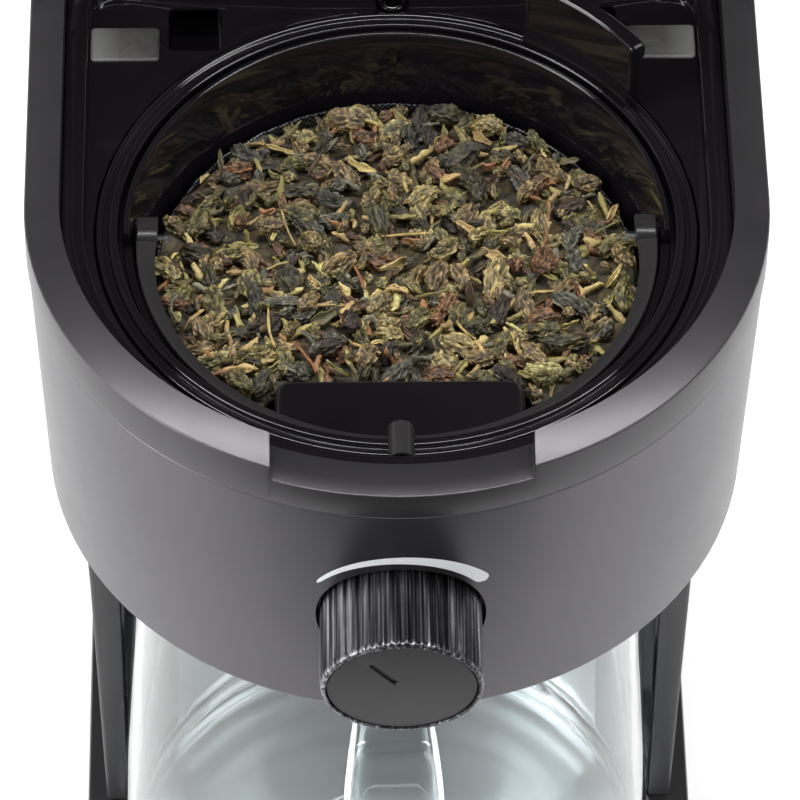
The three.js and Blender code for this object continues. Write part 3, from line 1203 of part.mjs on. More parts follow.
// Plan of the column: straight sides, rounded rear corners and a round recess for the jug in front
function columnOutline(inset) {
  const half = COLUMN_HALF_WIDTH - inset;
  const back = COLUMN_BACK - inset;
  const front = PILLAR_FRONT + inset;
  const radius = RECESS_RADIUS + inset;
  const corner = COLUMN_CORNER - inset;
  const edge = Math.asin(front / radius);
  const outer = boxOutline(half, front, back, SHARP, corner);
  const recess = Array.from({ length: FRONT_STEPS + 1 }, (_, i) => {
    const angle = Math.PI - edge - (Math.PI - 2 * edge) * (i / FRONT_STEPS);
    return [radius * Math.cos(angle), radius * Math.sin(angle)];
  });
  const firstFront = CORNER_STEPS + 1;
  return [...outer.slice(0, firstFront), ...recess, ...outer.slice(firstFront)];
}

function columnShell() {
  const window = block(
    -PANEL_HALF + PANEL_OVERLAP, PANEL_HALF - PANEL_OVERLAP,
    COLUMN_BACK - 2 * COLUMN_WALL, COLUMN_BACK + OVERRUN,
    PANEL_FOOT + PANEL_OVERLAP, PANEL_FOOT + PANEL_HEIGHT - PANEL_OVERLAP,
  );
  return prism(columnOutline(0), COLUMN_FOOT, COLUMN_TOP)
    .subtract(prism(columnOutline(COLUMN_WALL), COLUMN_FOOT - OVERRUN, COLUMN_TOP + OVERRUN))
    .subtract(window);
}

function rearPanel() {
  const plan = boxOutline(PANEL_HALF, -PANEL_HEIGHT / 2, PANEL_HEIGHT / 2, PANEL_OVERLAP, PANEL_OVERLAP);
  const upright = new THREE.Matrix4().makeRotationX(-Math.PI / 2);
  const place = shift(0, COLUMN_BACK + FIT, PANEL_FOOT + PANEL_HEIGHT / 2).multiply(upright);
  return moved(prism(plan, 0, PANEL_THICKNESS), place);
}

const tankPlan = (inset) => {
  const corners = [TANK_FRONT_CORNER - inset, TANK_CORNER - inset];
  return boxOutline(TANK_HALF - inset, TANK_FRONT + inset, TANK_BACK - inset, ...corners);
};

const valvePlace = shift(0, TANK_MIDDLE, TANK_FOOT);
const VALVE_FLOOR = VALVE_RECESS_HEIGHT + TANK_WALL;

function waterTank() {
  const body = prism(tankPlan(0), TANK_FOOT, TANK_TOP);
  const inside = prism(tankPlan(TANK_WALL), TANK_FOOT + TANK_WALL, TANK_TOP + OVERRUN);
  const pad = moved(rod(VALVE_PAD_RADIUS, 0, VALVE_FLOOR), valvePlace);
  const recess = moved(rod(VALVE_RECESS_RADIUS, -OVERRUN, VALVE_RECESS_HEIGHT), valvePlace);
  const hole = moved(rod(VALVE_HOLE_RADIUS, 0, VALVE_FLOOR + OVERRUN), valvePlace);
  const ears = [-1, 1].map((side) => {
    const x = side * TANK_EAR_CENTRE;
    const half = TANK_EAR_WIDTH / 2;
    const eye = moved(rod(TANK_EAR_RADIUS, -half, half), alongX(x, TANK_BACK + TANK_EAR_RADIUS, tankHinge));
    const root = block(x - half, x + half, TANK_BACK - TANK_WALL / 2, TANK_BACK + TANK_EAR_RADIUS,
      tankHinge - 2 * TANK_EAR_RADIUS, tankHinge);
    return eye.add(root);
  });
  const bore = moved(
    rod(TANK_PIN_RADIUS + FIT, -2 * TANK_EAR_CENTRE, 2 * TANK_EAR_CENTRE),
    alongX(0, TANK_BACK + TANK_EAR_RADIUS, tankHinge),
  );
  return joined([body.subtract(inside), pad, ...ears]).subtract(recess).subtract(hole).subtract(bore);
}

const tankHinge = TANK_TOP - TANK_EAR_RADIUS;

function tankLid() {
  const low = TANK_TOP + FIT;
  const top = low + TANK_LID_HEIGHT;
  const cover = loft([
    { points: tankPlan(0), z: low },
    { points: tankPlan(0), z: top - TANK_LID_ROUND },
    { points: tankPlan(TANK_LID_ROUND * (1 - Math.SQRT1_2)), z: top - TANK_LID_ROUND * (1 - Math.SQRT1_2) },
    { points: tankPlan(TANK_LID_ROUND), z: top },
  ]);
  const skirtInset = TANK_WALL + RUN;
  const skirtFoot = TANK_TOP - TANK_LID_SKIRT;
  const skirtEnd = TANK_BACK - TANK_CORNER;
  const rearRoom = block(-TANK_HALF, TANK_HALF, skirtEnd, TANK_BACK, skirtFoot - OVERRUN, low);
  const skirt = prism(tankPlan(skirtInset), skirtFoot, low + FIT).subtract(rearRoom);
  const hollow = prism(tankPlan(skirtInset + TANK_WALL), skirtFoot - OVERRUN, top - 2 * TANK_WALL);
  const tab = prism(
    boxOutline(TANK_TAB_HALF, TANK_FRONT - TANK_TAB_REACH, TANK_MIDDLE, TANK_TAB_REACH, TANK_TAB_REACH),
    top - TANK_LID_ROUND - TANK_WALL,
    top - TANK_LID_ROUND,
  );
  const y = TANK_BACK + TANK_EAR_RADIUS;
  const half = TANK_EAR_CENTRE - TANK_EAR_WIDTH / 2 - RUN;
  const knuckle = moved(rod(TANK_EAR_RADIUS, -half, half), alongX(0, y, tankHinge));
  const strap = block(-half, half, TANK_BACK + FIT, y + TANK_EAR_RADIUS, tankHinge, low + TANK_WALL);
  const bridge = block(-half, half, TANK_BACK - TANK_WALL, y + TANK_EAR_RADIUS, low, low + TANK_WALL);
  const bore = moved(rod(TANK_PIN_RADIUS + FIT, -half - OVERRUN, half + OVERRUN), alongX(0, y, tankHinge));
  return joined([cover, skirt, tab]).subtract(hollow).add(joined([knuckle, strap, bridge])).subtract(bore);
}

function tankLidPin() {
  const reach = TANK_EAR_CENTRE + TANK_EAR_WIDTH / 2;
  return moved(rod(TANK_PIN_RADIUS, -reach, reach), alongX(0, TANK_BACK + TANK_EAR_RADIUS, tankHinge));
}

// The valve's pieces are drawn about the valve's own upright axis, up from the tank's foot
const sealTop = VALVE_FLOOR;
const headFoot = sealTop + FIT;
const headTop = headFoot + VALVE_HEAD_HEIGHT;
const stemFoot = headFoot - VALVE_STEM_LENGTH;

function valveSeal() {
  return moved(tube(VALVE_HOLE_RADIUS - FIT, SEAL_BORE, sealTop - TANK_WALL, sealTop), valvePlace);
}

function valveStem() {
  const head = rod(VALVE_HEAD_RADIUS, headFoot, headTop);
  const stem = rod(VALVE_STEM_RADIUS, stemFoot, headFoot + FIT);
  return moved(head.add(stem), valvePlace);
}

function valveSpring() {
  const coil = tube(
    VALVE_SPRING_RADIUS, VALVE_SPRING_RADIUS - VALVE_SPRING_WIRE,
    headTop + FIT, headTop + FIT + VALVE_SPRING_HEIGHT,
  );
  return moved(coil, valvePlace);
}

function valveCage() {
  const low = sealTop + FIT;
  const ceiling = headTop + FIT + VALVE_SPRING_HEIGHT + VALVE_TRAVEL + FIT;
  const room = rod(CAGE_RADIUS - CAGE_WALL, low - OVERRUN, ceiling);
  const bell = rod(CAGE_RADIUS, low, ceiling + CAGE_WALL).subtract(room);
  const windows = Array.from({ length: CAGE_WINDOWS }, (_, i) =>
    moved(
      block(
        0, CAGE_RADIUS + OVERRUN, -CAGE_WINDOW_HALF, CAGE_WINDOW_HALF,
        low - OVERRUN, ceiling - CAGE_WALL,
      ),
      aboutZ((2 * Math.PI * i) / CAGE_WINDOWS),
    ),
  );
  return moved(bell.subtract(joined(windows)), valvePlace);
}

// Dock on the base: its pin lifts the tank's valve and its socket leads down to the boiler's hose
function tankDock() {
  const top = DOCK_HEIGHT;
  const hollow = rod(DOCK_RADIUS - DOCK_WALL, FIT + DOCK_WALL, top + OVERRUN);
  const dish = rod(DOCK_RADIUS, FIT, top).subtract(hollow);
  const socket = rod(DOCK_SOCKET_RADIUS, -DOCK_SOCKET_DEPTH, FIT + DOCK_WALL);
  const boreInner = DOCK_PIN_RADIUS + DOCK_BORE / 2;
  const bore = tube(DOCK_SOCKET_RADIUS - DOCK_WALL, boreInner, -DOCK_SOCKET_DEPTH + DOCK_WALL, top);
  const drain = moved(
    rod(DOCK_BORE / 2, -DOCK_SOCKET_RADIUS - OVERRUN, -boreInner),
    alongY(0, 0, -DOCK_DRAIN_DEPTH),
  );
  const pin = rod(DOCK_PIN_RADIUS, 0, stemFoot - FIT - FIT);
  return moved(dish.add(socket).subtract(bore).subtract(drain).add(pin), shift(0, TANK_MIDDLE, BASE_HEIGHT));
}

function baseHousing() {
  const low = FOOT_HEIGHT;
  const half = COLUMN_HALF_WIDTH;
  const ceiling = BASE_HEIGHT - BASE_WALL;
  const edge = BASE_WALL / 2;
  const body = loft([
    { points: dOutline(half - edge, BASE_BACK - edge), z: low },
    { points: dOutline(half, BASE_BACK), z: low + edge },
    { points: dOutline(half, BASE_BACK), z: BASE_HEIGHT - edge },
    { points: dOutline(half - edge / 2, BASE_BACK - edge / 2), z: BASE_HEIGHT },
  ]);
  const inside = prism(dOutline(half - BASE_WALL, BASE_BACK - BASE_WALL), low - OVERRUN, ceiling);
  const recess = rod(REST_RADIUS + FIT, BASE_HEIGHT - REST_RECESS, BASE_HEIGHT + OVERRUN, WIDE_STEPS);
  const hoseHole = block(
    -HOSE_HOLE_HALF, HOSE_HOLE_HALF, HOSE_SLOT_FRONT, HOSE_SLOT_BACK,
    ceiling - OVERRUN, BASE_HEIGHT + OVERRUN,
  );
  const dockHole = moved(
    rod(DOCK_SOCKET_RADIUS + FIT, -OVERRUN, OVERRUN), shift(0, TANK_MIDDLE, BASE_HEIGHT),
  );
  const button = moved(rod(BUTTON_RADIUS + FIT, -OVERRUN, OVERRUN), alongY(0, -half, BUTTON_HEIGHT));
  const glandBore = rod(GLAND_BORE + BASE_WALL / 2 + FIT, -OVERRUN, OVERRUN);
  const gland = moved(glandBore, alongY(GLAND_CENTRE, BASE_BACK, BUTTON_HEIGHT));
  return [inside, recess, hoseHole, dockHole, button, gland].reduce((left, cut) => left.subtract(cut), body);
}

const footPlaces = [
  ['front_left', -1, -FOOT_FRONT],
  ['front_right', 1, -FOOT_FRONT],
  ['rear_left', -1, BASE_BACK - FOOT_INSET],
  ['rear_right', 1, BASE_BACK - FOOT_INSET],
].map(([name, side, y]) => {
  const room = COLUMN_HALF_WIDTH - BASE_WALL - FOOT_INSET / 2;
  const x = y < 0 ? Math.sqrt(room ** 2 - y ** 2) - FOOT_RADIUS / 2 : room - FOOT_RADIUS / 2;
  return { name, x: side * x, y };
});

function baseCover() {
  const inset = BASE_WALL + FIT;
  const plate = prism(
    dOutline(COLUMN_HALF_WIDTH - inset, BASE_BACK - inset), FOOT_HEIGHT, FOOT_HEIGHT + COVER_THICKNESS,
  );
  const holes = footPlaces.map(({ x, y }) =>
    moved(rod(FOOT_STUB + FIT, -OVERRUN, OVERRUN), shift(x, y, FOOT_HEIGHT)),
  );
  return plate.subtract(joined(holes));
}

function foot({ x, y }) {
  const edge = FOOT_HEIGHT / 4;
  const pad = revolve([
    [0, 0], [FOOT_RADIUS - edge, 0], [FOOT_RADIUS, edge], [FOOT_RADIUS, FOOT_HEIGHT - FIT],
    [FOOT_STUB, FOOT_HEIGHT - FIT], [FOOT_STUB, FOOT_HEIGHT + COVER_THICKNESS + FIT],
    [0, FOOT_HEIGHT + COVER_THICKNESS + FIT],
  ], SMALL_STEPS);
  return moved(pad, shift(x, y, 0));
}

function startButton() {
  const face = -BUTTON_PROUD;
  const edge = BUTTON_PROUD / 4;
  const cap = revolve([
    [0, face],
    [BUTTON_RADIUS - edge, face],
    [BUTTON_RADIUS, face + edge],
    [BUTTON_RADIUS, face + BUTTON_LENGTH],
    [BUTTON_STEM_RADIUS, face + BUTTON_LENGTH],
    [BUTTON_STEM_RADIUS, face + BUTTON_LENGTH + BUTTON_STEM_LENGTH],
    [0, face + BUTTON_LENGTH + BUTTON_STEM_LENGTH],
  ], 2 * SMALL_STEPS);
  return moved(cap, alongY(0, -COLUMN_HALF_WIDTH, BUTTON_HEIGHT));
}

function powerSwitch() {
  const front = -COLUMN_HALF_WIDTH - BUTTON_PROUD + BUTTON_LENGTH + BUTTON_STEM_LENGTH + BUTTON_TRAVEL + FIT;
  const half = SWITCH_WIDTH / 2;
  const low = FOOT_HEIGHT + COVER_THICKNESS + FIT;
  const body = block(-half, half, front + BASE_WALL, front + SWITCH_DEPTH, low, low + SWITCH_HEIGHT);
  const plunger = moved(
    rod(BUTTON_STEM_RADIUS, 0, BASE_WALL + FIT),
    alongY(0, front, BUTTON_HEIGHT),
  );
  return body.add(plunger);
}

// Gland in the base's rear wall
function cordGland() {
  const collar = GLAND_BORE + BASE_WALL / 2;
  const ring = revolve([
    [GLAND_BORE, -BASE_WALL - FIT - BASE_WALL / 2],
    [GLAND_RADIUS, -BASE_WALL - FIT - BASE_WALL / 2],
    [GLAND_RADIUS, -BASE_WALL - FIT],
    [collar, -BASE_WALL - FIT],
    [collar, FIT],
    [GLAND_RADIUS, FIT],
    [GLAND_RADIUS - FIT, FIT + BASE_WALL / 2],
    [collar, GLAND_PROUD],
    [GLAND_BORE, GLAND_PROUD],
  ], SMALL_STEPS);
  return moved(ring, alongY(GLAND_CENTRE, BASE_BACK, BUTTON_HEIGHT));
}

// U-shaped flow heater: cold water enters the left leg and leaves hot from the right one
function boilerTube() {
  const bend = BOILER_SPACING;
  const left = [-BOILER_SPACING, BOILER_Y, BOILER_TOP];
  const turn = Array.from({ length: 2 * CORNER_STEPS + 1 }, (_, i) => {
    const angle = Math.PI * (1 + i / (2 * CORNER_STEPS));
    return [bend * Math.cos(angle), BOILER_Y, BOILER_FOOT + bend + bend * Math.sin(angle)];
  });
  return hose([left, ...turn, [BOILER_SPACING, BOILER_Y, BOILER_TOP]], BOILER_RADIUS, 6 * CORNER_STEPS);
}

function boilerBracket() {
  const z = (BOILER_FOOT + BOILER_TOP) / 2 + BRACKET_HEIGHT;
  const y = BOILER_Y - BOILER_RADIUS - FIT;
  const half = BRACKET_HEIGHT / 2;
  return block(-BRACKET_HALF, BRACKET_HALF, y - BRACKET_THICKNESS, y, z - half, z + half);
}

// Thermostat pressed on the boiler's bend
function thermostat() {
  const seat = BOILER_Y + BOILER_RADIUS + FIT;
  return moved(rod(THERMOSTAT_RADIUS, 0, THERMOSTAT_THICKNESS), alongY(0, seat, BOILER_FOOT));
}

function thermalFuse() {
  const x = BOILER_SPACING + BOILER_RADIUS + FUSE_RADIUS + RUN;
  const z = BOILER_FOOT + BOILER_SPACING + FUSE_LENGTH / 2;
  return moved(rod(FUSE_RADIUS, 0, FUSE_LENGTH), shift(x, BOILER_Y, z));
}

// Hose from the tank dock, through the base and up to the boiler's left leg, with the check valve in it
const valveX = -BOILER_SPACING - BOILER_RADIUS - 2 * HOSE_RADIUS;

function inletHose() {
  const start = TANK_MIDDLE - DOCK_SOCKET_RADIUS - FIT;
  const drainHeight = BASE_HEIGHT - DOCK_DRAIN_DEPTH;
  return hose(
    [
      [0, start, drainHeight],
      [0, start - HOSE_RADIUS, drainHeight],
      [valveX / 2, (start + BOILER_Y) / 2, drainHeight],
      [valveX, BOILER_Y + HOSE_RADIUS, drainHeight + 2 * HOSE_RADIUS],
      [valveX, BOILER_Y, BOILER_FOOT - 2 * HOSE_RADIUS],
      [valveX, BOILER_Y, BOILER_FOOT],
    ],
    HOSE_RADIUS,
    5 * CORNER_STEPS,
  );
}

// One-way valve between the inlet hose and the boiler's left leg
function checkValve() {
  return moved(rod(CHECK_RADIUS, 0, CHECK_LENGTH), shift(valveX, BOILER_Y, BOILER_FOOT + FIT));
}

function riserHose() {
  const low = BOILER_TOP + FIT;
  const y = WELL_BACK + OUTLET_TAIL + FIT;
  const high = below(OUTLET_DEPTH);
  return hose(
    [
      [BOILER_SPACING, BOILER_Y, low],
      [BOILER_SPACING, BOILER_Y, (low + HEAD_BOTTOM) / 2],
      [BOILER_SPACING / 2, BOILER_Y + HOSE_RADIUS, HEAD_BOTTOM + HOSE_RADIUS],
      [0, y + HOSE_RADIUS, (HEAD_BOTTOM + high) / 2],
      [0, y + 2 * HOSE_RADIUS, high - 2 * HOSE_RADIUS],
      [0, y + 2 * HOSE_RADIUS, high - HOSE_RADIUS / 2],
      [0, y + HOSE_RADIUS, high],
      [0, y, high],
    ],
    HOSE_RADIUS,
    6 * CORNER_STEPS,
  );
}

// Finishes of the pieces
const finish = (color, roughness, metalness = 0, opacity = 1) =>
  new THREE.MeshStandardMaterial({ color, roughness, metalness, opacity, transparent: opacity < 1 });
const PANEL_FINISH = finish(0x3a3638, 0.38, 0.7);
const RIM_FINISH = finish(0x2e2c2e, 0.45, 0.3);
const GLOSS_FINISH = finish(0x0b0a0b, 0.12);
const SATIN_FINISH = finish(0x1a191a, 0.4);
const FACE_FINISH = finish(0x3c3a39, 0.35, 0.4);
const GLASS_FINISH = finish(0xf2f7f7, 0.02, 0, 0.25);
const SMOKE_FINISH = finish(0x4a4f52, 0.08, 0, 0.5);
const STEEL_FINISH = finish(0xb9bcc0, 0.25, 1);
const ALLOY_FINISH = finish(0xa7a9ab, 0.45, 1);
const RUBBER_FINISH = finish(0x161616, 0.85);
const SILICONE_FINISH = finish(0xd8dad6, 0.6);
const TEA_FINISH = finish(0x3f3a22, 0.85);

// Assembly
const model = new THREE.Group();
const machine = new THREE.Group();
model.add(machine);

function piece(name, solid, material, parent = machine) {
  const mesh = new THREE.Mesh(geometryOf(solid), material);
  mesh.name = name;
  parent.add(mesh);
}

piece('head_shell', headShell(), PANEL_FINISH);
piece('head_rim', headRim(), RIM_FINISH);
piece('head_liner', headLiner(), GLOSS_FINISH);
piece('head_underside', headUnderside(), SATIN_FINISH);
piece('water_outlet', waterOutlet(), STEEL_FINISH);
piece('lid_hinge_pin_left', hingePin(-1), STEEL_FINISH);
piece('lid_hinge_pin_right', hingePin(1), STEEL_FINISH);

const openLid = new THREE.Group();
openLid.position.set(0, HINGE_BACK, HINGE_HEIGHT);
openLid.rotation.x = -Math.PI / 2;
const closedPlace = new THREE.Group();
closedPlace.position.set(0, -HINGE_BACK, -HINGE_HEIGHT);
openLid.add(closedPlace);
machine.add(openLid);
piece('lid_shell', lidShell(), RIM_FINISH, closedPlace);
piece('lid_spreader', lidSpreader(), GLOSS_FINISH, closedPlace);

const knobAxis = new THREE.Group();
knobAxis.position.set(0, -PANEL_RADIUS, below(KNOB_DEPTH));
knobAxis.rotation.x = Math.PI / 2 + KNOB_TILT;
machine.add(knobAxis);
piece('knob_body', knobBody(), GLOSS_FINISH, knobAxis);
piece('knob_face', knobFace(), FACE_FINISH, knobAxis);
piece('knob_shaft', knobShaft(), STEEL_FINISH, knobAxis);
piece('knob_bezel', knobBezel(), SATIN_FINISH, knobAxis);
piece('knob_clip', knobClip(), STEEL_FINISH, knobAxis);
piece('bypass_shutter', bypassShutter(), SATIN_FINISH, knobAxis);

piece('brew_basket', brewBasket(), GLOSS_FINISH);
piece('tea_filter', teaFilter(), GLOSS_FINISH);
piece('filter_mesh', filterMesh(), STEEL_FINISH);
piece('filter_bail', filterBail(), SATIN_FINISH);
piece('bail_pin_left', bailPin(-1), STEEL_FINISH);
piece('bail_pin_right', bailPin(1), STEEL_FINISH);
piece('tea_leaves', teaLeaves(), TEA_FINISH);

piece('jug', jug(), GLASS_FINISH);
piece('jug_lid', jugLid(), SATIN_FINISH);
piece('jug_rest', jugRest(), RUBBER_FINISH);

piece('column_shell', columnShell(), RIM_FINISH);
piece('rear_panel', rearPanel(), RIM_FINISH);

piece('water_tank', waterTank(), SMOKE_FINISH);
piece('tank_lid', tankLid(), RIM_FINISH);
piece('tank_lid_pin', tankLidPin(), STEEL_FINISH);
piece('tank_valve_seal', valveSeal(), SILICONE_FINISH);
piece('tank_valve_stem', valveStem(), SATIN_FINISH);
piece('tank_valve_spring', valveSpring(), STEEL_FINISH);
piece('tank_valve_cage', valveCage(), SATIN_FINISH);
piece('tank_dock', tankDock(), SATIN_FINISH);

piece('base_housing', baseHousing(), RIM_FINISH);
piece('base_cover', baseCover(), SATIN_FINISH);
for (const place of footPlaces) piece(`foot_${place.name}`, foot(place), RUBBER_FINISH);
piece('start_button', startButton(), GLOSS_FINISH);
piece('power_switch', powerSwitch(), SATIN_FINISH);
piece('cord_gland', cordGland(), RUBBER_FINISH);

piece('boiler_tube', boilerTube(), ALLOY_FINISH);
piece('boiler_bracket', boilerBracket(), STEEL_FINISH);
piece('thermostat', thermostat(), ALLOY_FINISH);
piece('thermal_fuse', thermalFuse(), SILICONE_FINISH);
piece('inlet_hose', inletHose(), SILICONE_FINISH);
piece('check_valve', checkValve(), SATIN_FINISH);
piece('riser_hose', riserHose(), SILICONE_FINISH);

// The origin is the middle of the footprint, on the surface that the machine stands on
model.updateMatrixWorld(true);
const bounds = new THREE.Box3().setFromObject(model, true);
machine.position.set(-(bounds.min.x + bounds.max.x) / 2, -(bounds.min.y + bounds.max.y) / 2, -bounds.min.z);
model.updateMatrixWorld(true);

export default model;
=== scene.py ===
"""Iced tea maker with its brew head open, dressed over its solids."""
import json
import math
import random

import bmesh
import bpy
from mathutils import Matrix, Vector, noise


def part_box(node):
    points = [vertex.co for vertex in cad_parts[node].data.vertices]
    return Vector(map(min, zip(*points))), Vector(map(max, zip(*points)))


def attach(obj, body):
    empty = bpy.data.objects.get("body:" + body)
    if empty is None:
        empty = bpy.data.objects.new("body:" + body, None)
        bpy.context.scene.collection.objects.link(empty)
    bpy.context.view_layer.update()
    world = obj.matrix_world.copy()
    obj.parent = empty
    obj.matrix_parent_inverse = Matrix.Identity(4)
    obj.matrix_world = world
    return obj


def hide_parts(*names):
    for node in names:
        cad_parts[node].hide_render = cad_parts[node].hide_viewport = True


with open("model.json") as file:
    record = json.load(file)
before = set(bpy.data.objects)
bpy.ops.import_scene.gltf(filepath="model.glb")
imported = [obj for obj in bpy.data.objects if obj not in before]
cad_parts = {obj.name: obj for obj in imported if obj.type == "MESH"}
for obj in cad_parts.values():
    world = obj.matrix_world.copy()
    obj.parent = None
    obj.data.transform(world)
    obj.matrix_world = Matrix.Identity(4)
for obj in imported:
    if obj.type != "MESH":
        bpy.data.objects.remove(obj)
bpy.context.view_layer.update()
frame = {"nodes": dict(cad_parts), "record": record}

MM = 0.001
TAU = 2 * math.pi
QUARTER = math.pi / 2

# The pieces are drawn in millimetres about the upright brew axis
filter_low, filter_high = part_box("tea_filter")
AXIS_Y = (filter_low[1] + filter_high[1]) / 2

# Main sizes, as on the solids
HALF = 95.0
BACK = 112.0
CORNER = 14.0
RIM = 312.0
SHELL_HEIGHT = 93.0
TAPER = 3.5
NOTCH_HALF = 32.5
NOTCH_EDGE = 0.5
KNOB_DEPTH = 55.5
KNOB_TILT = math.radians(6.7)
KNOB_REST = math.radians(-36)
PANEL_RADIUS = HALF - TAPER * KNOB_DEPTH / SHELL_HEIGHT

# Axes along X, as (y, z), and other places that several pieces share
LID_AXIS = (93.5, 319.5)
LID_ARM_X = 58
TANK_AXIS = (190.5, 278)
TANK_Y = 150.5
BAIL_AXIS = (0, 298.4)
OUTLET_Z = 301.6
BUTTON_Z = 14.5
JUG_SHIFT = -1.5

# How finely curves are drawn
SIDE_STEPS = 6
FRONT_STEPS = 20
REAR_STEPS = 12
CORNER_STEPS = 10
ROUND_STEPS = 4
LATHE_STEPS = 160
SMALL_STEPS = 48


# Outlines


def fillet(points, steps=ROUND_STEPS):
    """Rounds the corners of a closed line of points whose last number is the corner's radius."""
    line = []
    for i, point in enumerate(points):
        here, radius = Vector(point[:-1]), point[-1]
        if radius <= 0:
            line.append(tuple(here))
            continue
        before = Vector(points[i - 1][:-1]) - here
        after = Vector(points[(i + 1) % len(points)][:-1]) - here
        a = here + before * min(radius / before.length, 0.5)
        b = here + after * min(radius / after.length, 0.5)
        for n in range(steps + 1):
            t = n / steps
            line.append(tuple((1 - t) ** 2 * a + 2 * t * (1 - t) * here + t * t * b))
    return line


def arc(radius, start, sweep, steps, x=0.0, y=0.0):
    """Points of an arc about (x, y), with both ends."""
    turns = [start + sweep * i / steps for i in range(steps + 1)]
    return [(x + radius * math.cos(turn), y + radius * math.sin(turn)) for turn in turns]


def circle(radius, count, start=0.0):
    return arc(radius, start, TAU, count)[:-1]


def front_arc(radius, half, steps):
    """Arc about the brew axis across the front, from -half to half in X."""
    edge = math.asin(half / radius)
    turns = [edge * (2 * i / steps - 1) for i in range(steps + 1)]
    return [(radius * math.sin(turn), -radius * math.cos(turn)) for turn in turns]


def box_plan(half, front, back, front_corner, back_corner, steps=CORNER_STEPS):
    corners = [(front_corner, -1, front + front_corner, 2), (front_corner, 1, front + front_corner, 3),
               (back_corner, 1, back - back_corner, 0), (back_corner, -1, back - back_corner, 1)]
    plan = []
    for radius, side, y, quarter in corners:
        plan += arc(radius, QUARTER * quarter, QUARTER, steps, side * (half - radius), y)
    return plan


def at(plan, z):
    return [(x, y, z) for x, y in plan]


def across(outline, x):
    return [(x, y, z) for y, z in outline]


# Stations of the D: front arc with planes at the notch's ends, straight sides, rear corners and rear edge.
# The last number of each says how much of the rim stands there: 1 outside the notch and 0 in it
NOTCH_XS = [(NOTCH_HALF + 3, 1.0), (NOTCH_HALF + 1.2, 1.0), (NOTCH_HALF + NOTCH_EDGE, 1.0),
            (NOTCH_HALF + 0.12, 0.965), (NOTCH_HALF, 0.88), (NOTCH_HALF, 0.06), (NOTCH_HALF - 0.3, 0.0)]


def d_stations():
    inner = [NOTCH_HALF * (1 - 2 * i / 28) * 0.985 for i in range(29)]
    return ([("front", -1, i / FRONT_STEPS, 1.0) for i in range(FRONT_STEPS)]
            + [("x", 1, -x, weight) for x, weight in NOTCH_XS]
            + [("x", 1, -x, 0.0) for x in inner]
            + [("x", 1, x, weight) for x, weight in reversed(NOTCH_XS)]
            + [("front", 1, 1 - (i + 1) / FRONT_STEPS, 1.0) for i in range(FRONT_STEPS)]
            + [("side", 1, (i + 1) / SIDE_STEPS, 1.0) for i in range(SIDE_STEPS - 1)]
            + [("corner", 1, i / CORNER_STEPS, 1.0) for i in range(CORNER_STEPS + 1)]
            + [("rear", 1, 1 - 2 * (i + 1) / REAR_STEPS, 1.0) for i in range(REAR_STEPS - 1)]
            + [("corner", -1, 1 - i / CORNER_STEPS, 1.0) for i in range(CORNER_STEPS + 1)]
            + [("side", -1, 1 - (i + 1) / SIDE_STEPS, 1.0) for i in range(SIDE_STEPS - 1)])


STATIONS = d_stations()


def d_point(station, half, back, corner):
    kind, side, share, _ = station
    reach = max(half, 60.0)
    if kind == "x":
        turn = math.asin(share / reach)
        return half * math.sin(turn), -half * math.cos(turn)
    if kind == "front":
        turn = QUARTER + (math.asin((NOTCH_HALF + 3) / reach) - QUARTER) * share
        return side * half * math.sin(turn), -half * math.cos(turn)
    if kind == "side":
        return side * half, (back - corner) * share
    if kind == "corner":
        turn = QUARTER * share
        return side * (half - corner + corner * math.cos(turn)), back - corner + corner * math.sin(turn)
    return share * (half - corner), back


# Shapes, each a list of points and a list of faces


def loft(rings, closed=False):
    """Rings of equal counts joined in order, with flat ends or, if closed, back to the first ring."""
    count, total = len(rings[0]), len(rings)
    points = [point for ring in rings for point in ring]
    faces = []
    for n in range(total if closed else total - 1):
        m = (n + 1) % total
        for i in range(count):
            j = (i + 1) % count
            faces.append((n * count + i, n * count + j, m * count + j, m * count + i))
    if not closed:
        faces.append(tuple(reversed(range(count))))
        faces.append(tuple((total - 1) * count + i for i in range(count)))
    return points, faces


def d_ring(sections, closed=True):
    """Sections of (half, back, corner, z) joined in order; two more numbers give half and z in the notch."""
    rings = []
    for half, back, corner, z, *notch in sections:
        ring = []
        for station in STATIONS:
            reach, height = half, z
            if notch:
                reach = notch[0] + (half - notch[0]) * station[3]
                height = notch[1] + (z - notch[1]) * station[3]
            ring.append((*d_point(station, reach, back, corner), height))
        rings.append(ring)
    return loft(rings, closed)


def lathe(profile, steps=LATHE_STEPS):
    """Closed solid of revolution about the brew axis from [radius, z] points."""
    points, faces = [], []
    count = len(profile)
    for i in range(steps):
        angle = TAU * i / steps
        for radius, z in profile:
            points.append((radius * math.cos(angle), radius * math.sin(angle), z))
    for i in range(steps):
        j = (i + 1) % steps
        for k in range(count):
            m = (k + 1) % count
            if profile[k][0] == 0 and profile[m][0] == 0:
                continue
            faces.append((i * count + k, j * count + k, j * count + m, i * count + m))
    return points, faces


def turned(shape, matrix):
    points, faces = shape
    return [tuple(matrix @ Vector(point)) for point in points], faces


def shift(x, y, z):
    return Matrix.Translation((x, y, z))


def along_x(x, y, z):
    return shift(x, y, z) @ Matrix.Rotation(QUARTER, 4, "Y")


def along_y(x, y, z):
    return shift(x, y, z) @ Matrix.Rotation(-QUARTER, 4, "X")


def rod(radius, low, high, edge=0.0, steps=SMALL_STEPS):
    return lathe(fillet([(0, low, 0), (radius, low, edge), (radius, high, edge), (0, high, 0)]), steps)


def pin(radius, half, x, axis, edge=0.0):
    """Rod along X on an axis given as (y, z), half its length each way from x."""
    return turned(rod(radius, -half, half, edge), along_x(x, *axis))


def prism(plan, low, high):
    return loft([at(plan, low), at(plan, high)])


